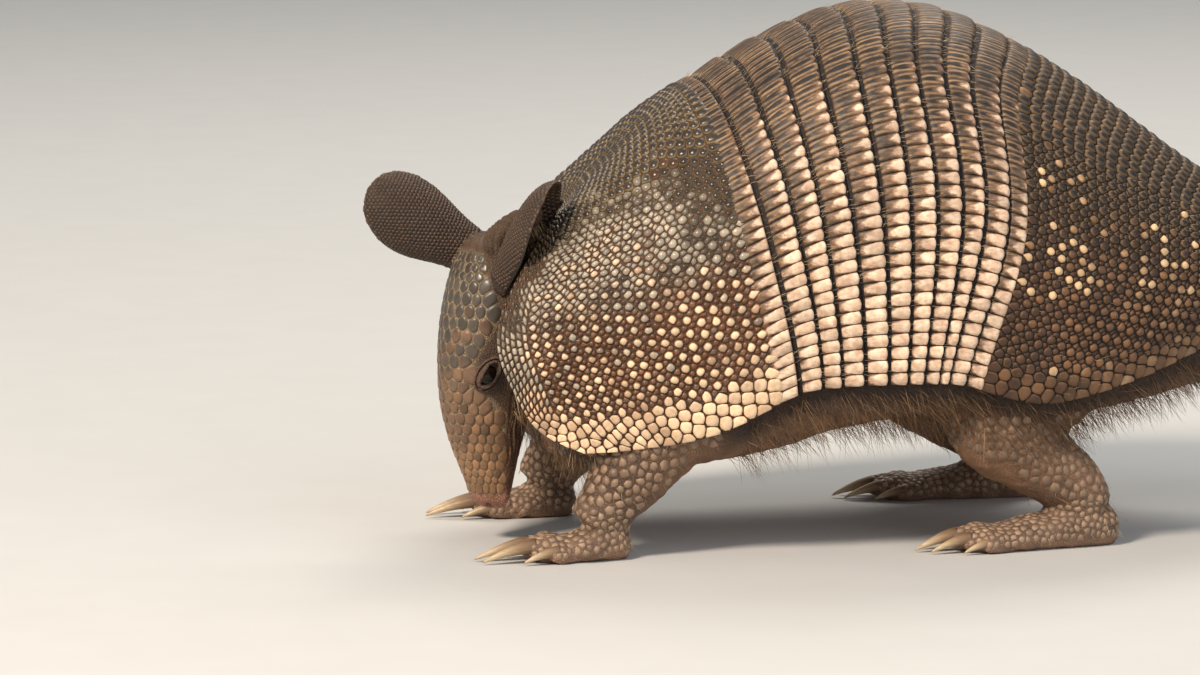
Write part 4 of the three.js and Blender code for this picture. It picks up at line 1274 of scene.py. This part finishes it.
def claws(foot, mirror):
    """A foot's claws, arched above and hollow below, as digging claws are.
    Their look attribute holds the share of the length, from root to tip."""
    meshes, shares = [], []
    for reach, offset, half, length in foot["toes"]:

        def claw(a, angle, slim):
            root_z = half * 1.25
            z = root_z - (root_z - 0.95) * a**1.7
            radius = (half * 0.62 * (1 - a) ** 0.75 + 0.25) * slim
            centre = on_foot(foot, mirror, reach - CLAW_ROOT + (length + CLAW_ROOT) * a, offset, z)
            return round_tube(centre, ACROSS, UP, radius, radius * 1.1, np.minimum(radius, z - 0.25) * 0.75, angle)

        made = capsule("claw", 22, 16, claw, (0.02, 0.06))
        away = coordinates(made)[:, :2] - on_foot(foot, mirror, reach - CLAW_ROOT, offset, 0)[:2]
        meshes.append(made)
        shares.append(np.linalg.norm(away, axis=-1) / (length + CLAW_ROOT))
    mesh, share = joined("claws", meshes), np.concatenate(shares)
    paint(mesh, "look", np.stack([share] * 3 + [np.ones_like(share)], -1))
    return mesh


for _end, _foot in (("fore", FOREFOOT), ("hind", HINDFOOT)):
    for _side, _mirror in (("left", 1), ("right", -1)):
        finish_piece(f"claws_{_end}_{_side}", claws(_foot, _mirror), CLAW_HORN,
                     [f"{_end}_{_side}_claw_{k + 1}" for k in range(len(_foot["toes"]))])

# ---- Scutes of the head, ears, legs and tail ----


def rows_round(place, stations, pitch, limit=180.0):
    """Sites in rows round a tube, each row set half a step on: their stations and angles."""
    fine = np.radians(np.linspace(-180, 180, 241))
    t, angle = [], []
    for index, station in enumerate(stations):
        ring = place(np.full(241, float(station)), fine)
        arc = np.concatenate([[0], np.linalg.norm(np.diff(ring, axis=0), axis=-1).cumsum()])
        arc -= np.interp(0, fine, arc)
        step, most = pitch(station), math.radians(limit(station) if callable(limit) else limit)
        if limit == 180.0:
            count = max(5, int(round((arc[-1] - arc[0]) / step)))
            at = arc[0] + (np.arange(count) + 0.5 * (index % 2)) * (arc[-1] - arc[0]) / count
        else:
            half = min(np.interp(most, fine, arc), -np.interp(-most, fine, arc))
            count = int(half / step)
            at = (np.arange(-count, count + 1) + 0.5 * (index % 2)) * step
            at = at[np.abs(at) <= half + 0.1]
        t += [station] * len(at)
        angle += list(np.interp(at, arc, fine))
    return np.array(t, float), np.array(angle)


def frame_on(place, t, angle, axis):
    """The point, the outward normal and the direction of growing t on a tube's surface round its axis."""
    point = place(t, angle)
    forward = place(t + 0.02, angle) - place(t - 0.02, angle)
    round_way = place(t, angle + 0.03) - place(t, angle - 0.03)
    normal = unit(np.cross(round_way, forward))
    return point, normal * np.sign((normal * (point - axis)).sum(-1))[:, None], unit(forward)


def stations_by_step(values, first, last, step):
    """Stations from first to last whose distances along values follow step(distance)."""
    grid = np.linspace(0, len(values) - 1, 400)
    distance = along(values, grid)
    at, out = first, []
    while at < last:
        out.append(float(np.interp(at, distance, grid)))
        at += step(at)
    return out


def head_shield():
    """Hexagons of 5 mm between the ears that shrink down the snout."""

    def by_distance(distances, values):
        return lambda t: float(np.interp(along(HEAD["along"], t), distances, values))

    places, long, wide = [4, 17, 35, 60, 78, 94], [2.4, 4.4, 4.8, 4.1, 3.2, 2.4], [2.6, 4.2, 4.4, 3.7, 3.1, 2.4]
    stations = stations_by_step(HEAD["along"], 6.5, 91.5, lambda d: float(np.interp(d, places, long)))
    t, angle = rows_round(head_surface, stations, by_distance(places, wide), by_distance(*HEAD_SHIELD_EDGE))
    n = len(t)
    t = t + rng.normal(0, 0.02, n)
    d = along(HEAD["along"], t)
    point, out, way = frame_on(head_surface, t, angle, on_head(d, 0, 0))
    size = np.interp(d, [5, 16, 60, 94], [1.2, 2.3, 2.0, 1.25]) * rng.uniform(0.84, 1.14, n)
    pale = np.interp(d, [14, 95], [-0.1, 0.95]) + rng.normal(0, 0.09, n)
    look = np.stack([pale, rng.random(n), 0.5 * (rng.random(n) < 0.12)], -1)
    tall = np.interp(d, [4, 16, 60, 94], [0.38, 0.55, 0.46, 0.32])
    roots = chart("head", d / 100, angle / (2 * math.pi) + 0.5)
    return scutes("head_shield", on_skin, point, out, way, roots, size, tall, look,
                  stretch=1.3, gap=0.27, power=9, limit=1.5, tilt=0.1, forms=((None, 12, TILE),))


def granules(name, ear):
    """Granules in rows over both faces of an ear, closer together and taller on the back."""
    sets = []
    for face, pitch, high, page in ((-1.0, 1.55, 0.3, 0.0), (1.0, 1.9, 0.16, 0.5)):

        def place(t, angle):
            return ear_surface(ear, t, angle / math.pi, face + 0 * t)

        stations = np.arange(0.1, 0.985, pitch * 0.88 / EAR["length"])
        t, angle = rows_round(place, stations, lambda t: pitch, lambda t: 172.0)
        t = t + rng.normal(0, 0.0022, len(t))
        angle = angle + rng.normal(0, 0.008, len(t))
        point, out, way = frame_on(place, t, angle, ear_surface(ear, t, angle / math.pi, 0 * t))
        free = np.linalg.norm(on_skin(point) - point, axis=-1) < 1.2
        point, out, way, t, angle = (k[free] for k in (point, out, way, t, angle))
        n = len(t)
        tall = np.full(n, high) * rng.uniform(0.8, 1.2, n)
        look = np.stack([0.25 * ease(0.25, 0.05, t) + 0.1 * rng.random(n), rng.random(n), 0 * t], -1)
        sets.append((point, out, way, chart("ear_" + name, t / 2 + page, angle / (2 * math.pi) + 0.5),
                     np.full(n, pitch * 0.5), tall, look))
    return joined("ear", [scutes("ear", on_skin, *values, stretch=1.1, gap=0.16, power=8, limit=1.35,
                                 forms=((None, 6, BEAD),)) for values in sets])


finish_piece("head_shield", head_shield(), HEAD_HORN)
for _name, _ear in EARS.items():
    finish_piece(f"ear_{_name}_granules", granules(_name, _ear), EAR_HORN)


STEPS = np.stack(np.meshgrid(*[(-1, 0, 1)] * 3, indexing="ij"), -1).reshape(-1, 3)  # to a cell and those round it


def scatter(chosen, spacing, seed, most=10**6):
    """Vertices of the skin picked at random from those chosen, no two nearer than spacing."""
    order = np.random.default_rng(seed).permutation(np.nonzero(chosen)[0])
    taken, out = {}, []
    for index in order:
        point = SKIN_CO[index]
        cell = np.floor(point / spacing).astype(int)
        near = (taken.get(tuple(cell + step), ()) for step in STEPS)
        if all(((point - other) ** 2).sum() >= spacing**2 for cell_points in near for other in cell_points):
            taken.setdefault(tuple(cell), []).append(point)
            out.append(index)
            if len(out) == most:
                break
    return np.array(out)


def body_chart(points):
    """The trunk and limbs unrolled round the animal's length."""
    middle = np.interp(points[:, 0], [-60, 100, 260, 590], [85, 110, 75, 10])
    turn = np.arctan2(points[:, 1], points[:, 2] - middle) / (2 * math.pi) + 0.5
    return chart("shell", (points[:, 0] + 70) / 670, turn)


def on_legs():
    """Which of the skin's vertices are on the legs and the tops of the feet."""
    x, y, z = SKIN_CO.T
    low = (np.abs(y) > 24) & (z < 50) & (z > 2.5) & (x > -62) & (x < 222)
    between_legs = (x > 30) & (x < 100)
    groin = (z > 32) & (np.abs(y) < 37)
    return low & (SKIN_OUT[:, 2] > -0.35) & ~between_legs & ~groin


def leg_scutes():
    """Pebbly scutes, smaller on the feet and none on the soles."""
    foot = SKIN_CO[:, 2] <= 17
    picked = np.concatenate([scatter(LEGS & ~foot, 2.9, 31), scatter(LEGS & foot, 2.15, 32)])
    n = len(picked)
    point, out = SKIN_CO[picked], SKIN_OUT[picked]
    z = point[:, 2]
    size = np.where(z > 17, 1.55, 1.15) * rng.uniform(0.85, 1.15, n)
    look = np.stack([0.45 + 0.5 * ease(25, 8, z) + rng.normal(0, 0.12, n), rng.random(n), 0 * size], -1)
    return scutes("legs", on_skin, point, out, np.tile([0.3, 0.0, -1.0], (n, 1)), body_chart(point), size, size * 0.24,
                  look, stretch=1.12, gap=0.3, power=8, limit=1.5, forms=((None, 6, BEAD),))


def tail_scutes():
    """Rings of two rows, the rear row longer and raised, then rows that shrink to the tip."""

    def place(t, angle):
        return limb_surface(TAIL, t, angle)

    ring = RINGED / TAIL_RINGS
    tip, at = [], RINGED + 0.07
    while at < 7.96:
        tip.append(at)
        at += np.interp(at, [5, 8], [0.125, 0.085])
    sets = []
    for rows, longer, high in (([k * ring + 0.2 * ring for k in range(TAIL_RINGS)], 0.0, 0.75),
                               ([k * ring + 0.64 * ring for k in range(TAIL_RINGS)], 1.0, 1.35), (tip, 0.5, 0.6)):
        t, angle = rows_round(place, rows, lambda t: float(np.interp(t, [0, 5, 8], [5.6, 4.4, 2.4])))
        point, out, way = frame_on(place, t, angle, (place(t, 0 * t) + place(t, 0 * t + math.pi)) / 2)
        n = len(t)
        size = np.interp(t, [0, 5, 8], [2.5, 2.0, 0.9]) + 0.4 * longer
        tall = high * np.interp(t, [0, 5, 8], [1.0, 0.8, 0.4])
        look = np.stack([0.08 + 0.2 * longer * rng.random(n), rng.random(n), 0 * t], -1)
        sets.append((point, out, way, chart("tail", t / 8, angle / (2 * math.pi) + 0.5), size, tall, look))
    values = [np.concatenate(k) for k in zip(*sets)]
    # None lies between the tail and the floor.
    keep = (values[0][:, 2] > 1.2) | (values[1][:, 2] > -0.5)
    return scutes("tail", on_skin, *(k[keep] for k in values), stretch=1.45, gap=0.4, power=9, limit=1.5,
                  forms=((None, 12, TILE),))


LEGS = on_legs()
finish_piece("leg_scutes", leg_scutes(), LEG_HORN)
finish_piece("tail_scutes", tail_scutes(), TAIL_HORN)

# ---- Hair: sparse bristles, each a thin three-sided spike ----


def hairs(roots, normals, lie, length, stand, spread_way, thick, patches, tone_share):
    """Points, faces, looks and patches of hairs that leave along stand x normal + lie and bend towards lie."""
    n = len(roots)
    length = np.minimum(length, np.maximum(roots[:, 2] - 0.6, 0.4))
    wander = rng.normal(0, 1, (n, 3)) * spread_way
    start = unit(normals * stand[:, None] + lie + wander)
    end = unit(lie + normals * 0.12 + wander * 1.3)
    levels = np.array([0.0, 0.35, 0.7, 1.0])
    path = [roots - normals * 0.3]
    for low, high in zip(levels[:-1], levels[1:]):
        step = unit(start * (1 - high) + end * high)
        path.append(path[-1] + step * (length * (high - low))[:, None])
    path = np.stack(path, 1)
    way = unit(path[:, -1] - path[:, 0])
    side = unit(np.cross(way, unit(rng.normal(size=(n, 3)))))
    other = np.cross(way, side)
    turn = np.arange(3) * 2 * math.pi / 3
    ring = side[:, None] * np.cos(turn)[None, :, None] + other[:, None] * np.sin(turn)[None, :, None]
    points = [path[:, k][:, None] + ring * (thick * wide)[:, None, None] for k, wide in enumerate((1.0, 0.85, 0.55))]
    points = np.concatenate(points + [path[:, 3:]], 1)
    edges = [(0, 1), (1, 2), (2, 0)]
    quads = [[low + k, low + after, low + 3 + after, low + 3 + k] for low in (0, 3) for k, after in edges]
    tips = [[6 + k, 6 + after, 9] for k, after in edges]
    rise = np.array([0, 0, 0, 0.35, 0.35, 0.35, 0.7, 0.7, 0.7, 1.0])
    across = np.array([0, 1, -1] * 3 + [0]) * 0.4
    uv = patches[:, None] + (np.stack([rise * 2 - 1, across], -1) * PATCH)[None]
    look = (rise[None], tone_share[:, None], rng.random(n)[:, None], 0.0)
    look = np.stack([np.broadcast_to(k, (n, len(rise))) for k in look], -1)
    return points, [quads, tips, [[2, 1, 0]]], look, uv


def hair_piece(name, sets):
    made = Forms()
    for points, kinds, look, patches in sets:
        made.add(points, look, patches, *kinds)
    finish_piece(name, made.mesh(name), HAIR)


def shell_hairs(u, t, lift, low, high, stand, tone_share):
    normal, back = shell_frame(u, t)
    n = len(u)
    length, roots = rng.uniform(low, high, n), chart("shell", u / LAST, t / 2 + 0.5)
    return hairs(shell(u, t, lift), normal, back, length, np.full(n, stand), 0.22, np.full(n, 0.06), roots,
                 tone_share + rng.normal(0, 0.08, n))


def skin_hairs(chosen, spacing, seed, most, lie, low, high, stand, tone_share, thick=0.09):
    picked = scatter(chosen, spacing, seed, most)
    n = len(picked)
    point, way = SKIN_CO[picked], np.tile(unit(np.array(lie, float)), (n, 1))
    length = rng.uniform(low, high, n)
    return hairs(point, SKIN_OUT[picked], way, length, np.full(n, stand), 0.25, np.full(n, thick), body_chart(point),
                 np.clip(rng.normal(tone_share, 0.18, n), 0, 1))


def shell_bristles():
    """Rows from under the rear edges of the front shield and the bands, and a thin scatter over both shields."""
    in_row, on_shield = 170, 1100
    for index in range(BANDS + 1):
        u = band_station(index) - 0.012 + rng.normal(0, 0.008, in_row)
        yield shell_hairs(u, rng.uniform(-0.99, 0.99, in_row), 0.0, 2.2, 5.5, 0.35, 0.85)
    for first, last in ((0.1, 2.9), (7.1, 10.8)):
        u = rng.uniform(first, last, on_shield)
        yield shell_hairs(u, rng.uniform(-0.98, 0.98, on_shield), -0.3, 2.0, 4.5, 0.55, 0.8)


def body_bristles():
    """Hair by place: a fringe under the shell's edge, belly, rump, cheeks, throat and chest, legs, and tail."""
    x, y, z = SKIN_CO.T
    d, _, _, thick, turned = head_place_of(SKIN_CO)
    edge = edge_height(x)
    under = (x > 40) & (x < 245) & (z < edge + 1)
    head = (thick < 27) & (d > -10) & (x < -14)
    chest = ~head & (x < 16) & (z < 104) & (z > 30) & (thick < 60) & ((x > -34) | (z < 84)) & (SKIN_OUT[:, 0] < 0.35)
    forward = SNOUT * 0.9 + np.array([0.35, 0, 0])
    yield skin_hairs(under & (np.abs(y) > 42) & (z > edge - 18), 1.1, 41, 3200, (0.5, 0, -0.8), 8, 16, 0.6, 0.34)
    yield skin_hairs(under & (SKIN_OUT[:, 2] < -0.4), 2.6, 42, 1400, (0.9, 0, -0.35), 6, 11, 0.3, 0.5)
    yield skin_hairs((x > 222) & (x < 263) & (z < edge + 6), 1.7, 47, 1500, (0.8, 0, -0.6), 5, 10, 0.45, 0.4)
    yield skin_hairs(head & (turned > 84) & (d < 64), 1.0, 43, 2400, forward, 6, 14, 0.25, 0.62)
    yield skin_hairs(chest, 1.7, 44, 2300, (0.3, 0, -0.9), 6, 14, 0.3, 0.55)
    yield skin_hairs(LEGS, 3.2, 45, 1300, (0.35, 0, -0.9), 3, 7, 0.3, 0.65, 0.08)
    yield skin_hairs((x > 262) & (z > 3), 5.5, 46, 900, (1, 0, -0.2), 2, 4.5, 0.3, 0.7, 0.07)


hair_piece("shell_bristles", shell_bristles())
hair_piece("body_bristles", body_bristles())

# ---- Floor, light and camera ----

FLOOR = 15  # metres from the floor's middle to its edges
_bm = bmesh.new()
bmesh.ops.create_grid(_bm, x_segments=1, y_segments=1, size=FLOOR)
_floor = mesh_of(_bm, "floor")
_floor.materials.append(studio_paper())
new_object("floor", _floor)
MIDDLE = Vector((SHIFT[0] * 0.001, 0.0, 0.074))


def put(name, data, azimuth, elevation, distance):
    """Puts a light or a camera at its angles round the animal's middle, in degrees, and aims it there."""
    made = bpy.data.objects.new(name, data)
    SCENE.collection.objects.link(made)
    a, e = math.radians(azimuth), math.radians(elevation)
    made.location = MIDDLE + Vector((math.sin(a) * math.cos(e), -math.cos(a) * math.cos(e), math.sin(e))) * distance
    made.rotation_euler = (MIDDLE - made.location).to_track_quat("-Z", "Y").to_euler()
    return made


# Soft round lamps, each with its angles, distance, size, power and colour.
for _name, _azimuth, _elevation, _distance, _size, _power, _colour in (
        ("key", -50, 42, 2.6, 0.55, 79, "#ffedd9"),
        ("fill", 35, 30, 2.6, 2.0, 20, "#f3f3f6"),
        ("rim", 150, 50, 2.4, 1.2, 26, "#fff6ea")):
    _light = bpy.data.lights.new(_name, "AREA")
    _light.shape, _light.size, _light.energy, _light.color = "DISK", _size, _power, linear(_colour)[:3]
    put(_name, _light, _azimuth, _elevation, _distance)
world = bpy.data.worlds.new("studio")
SCENE.world = world
world.use_nodes = True
world.node_tree.nodes["Background"].inputs["Color"].default_value = linear("#dfe3e6")
world.node_tree.nodes["Background"].inputs["Strength"].default_value = 0.45
SCENE.view_settings.view_transform = "Standard"

SENSOR, FOCAL, ACROSS_VIEW = 36, 6480, 1200  # the sensor in mm, and the focal length in points of a view this wide
SCENE.camera = put("camera", bpy.data.cameras.new("camera"), -12, 8, 2.4)
SCENE.camera.data.sensor_width = SENSOR
SCENE.camera.data.lens = FOCAL / ACROSS_VIEW * SENSOR
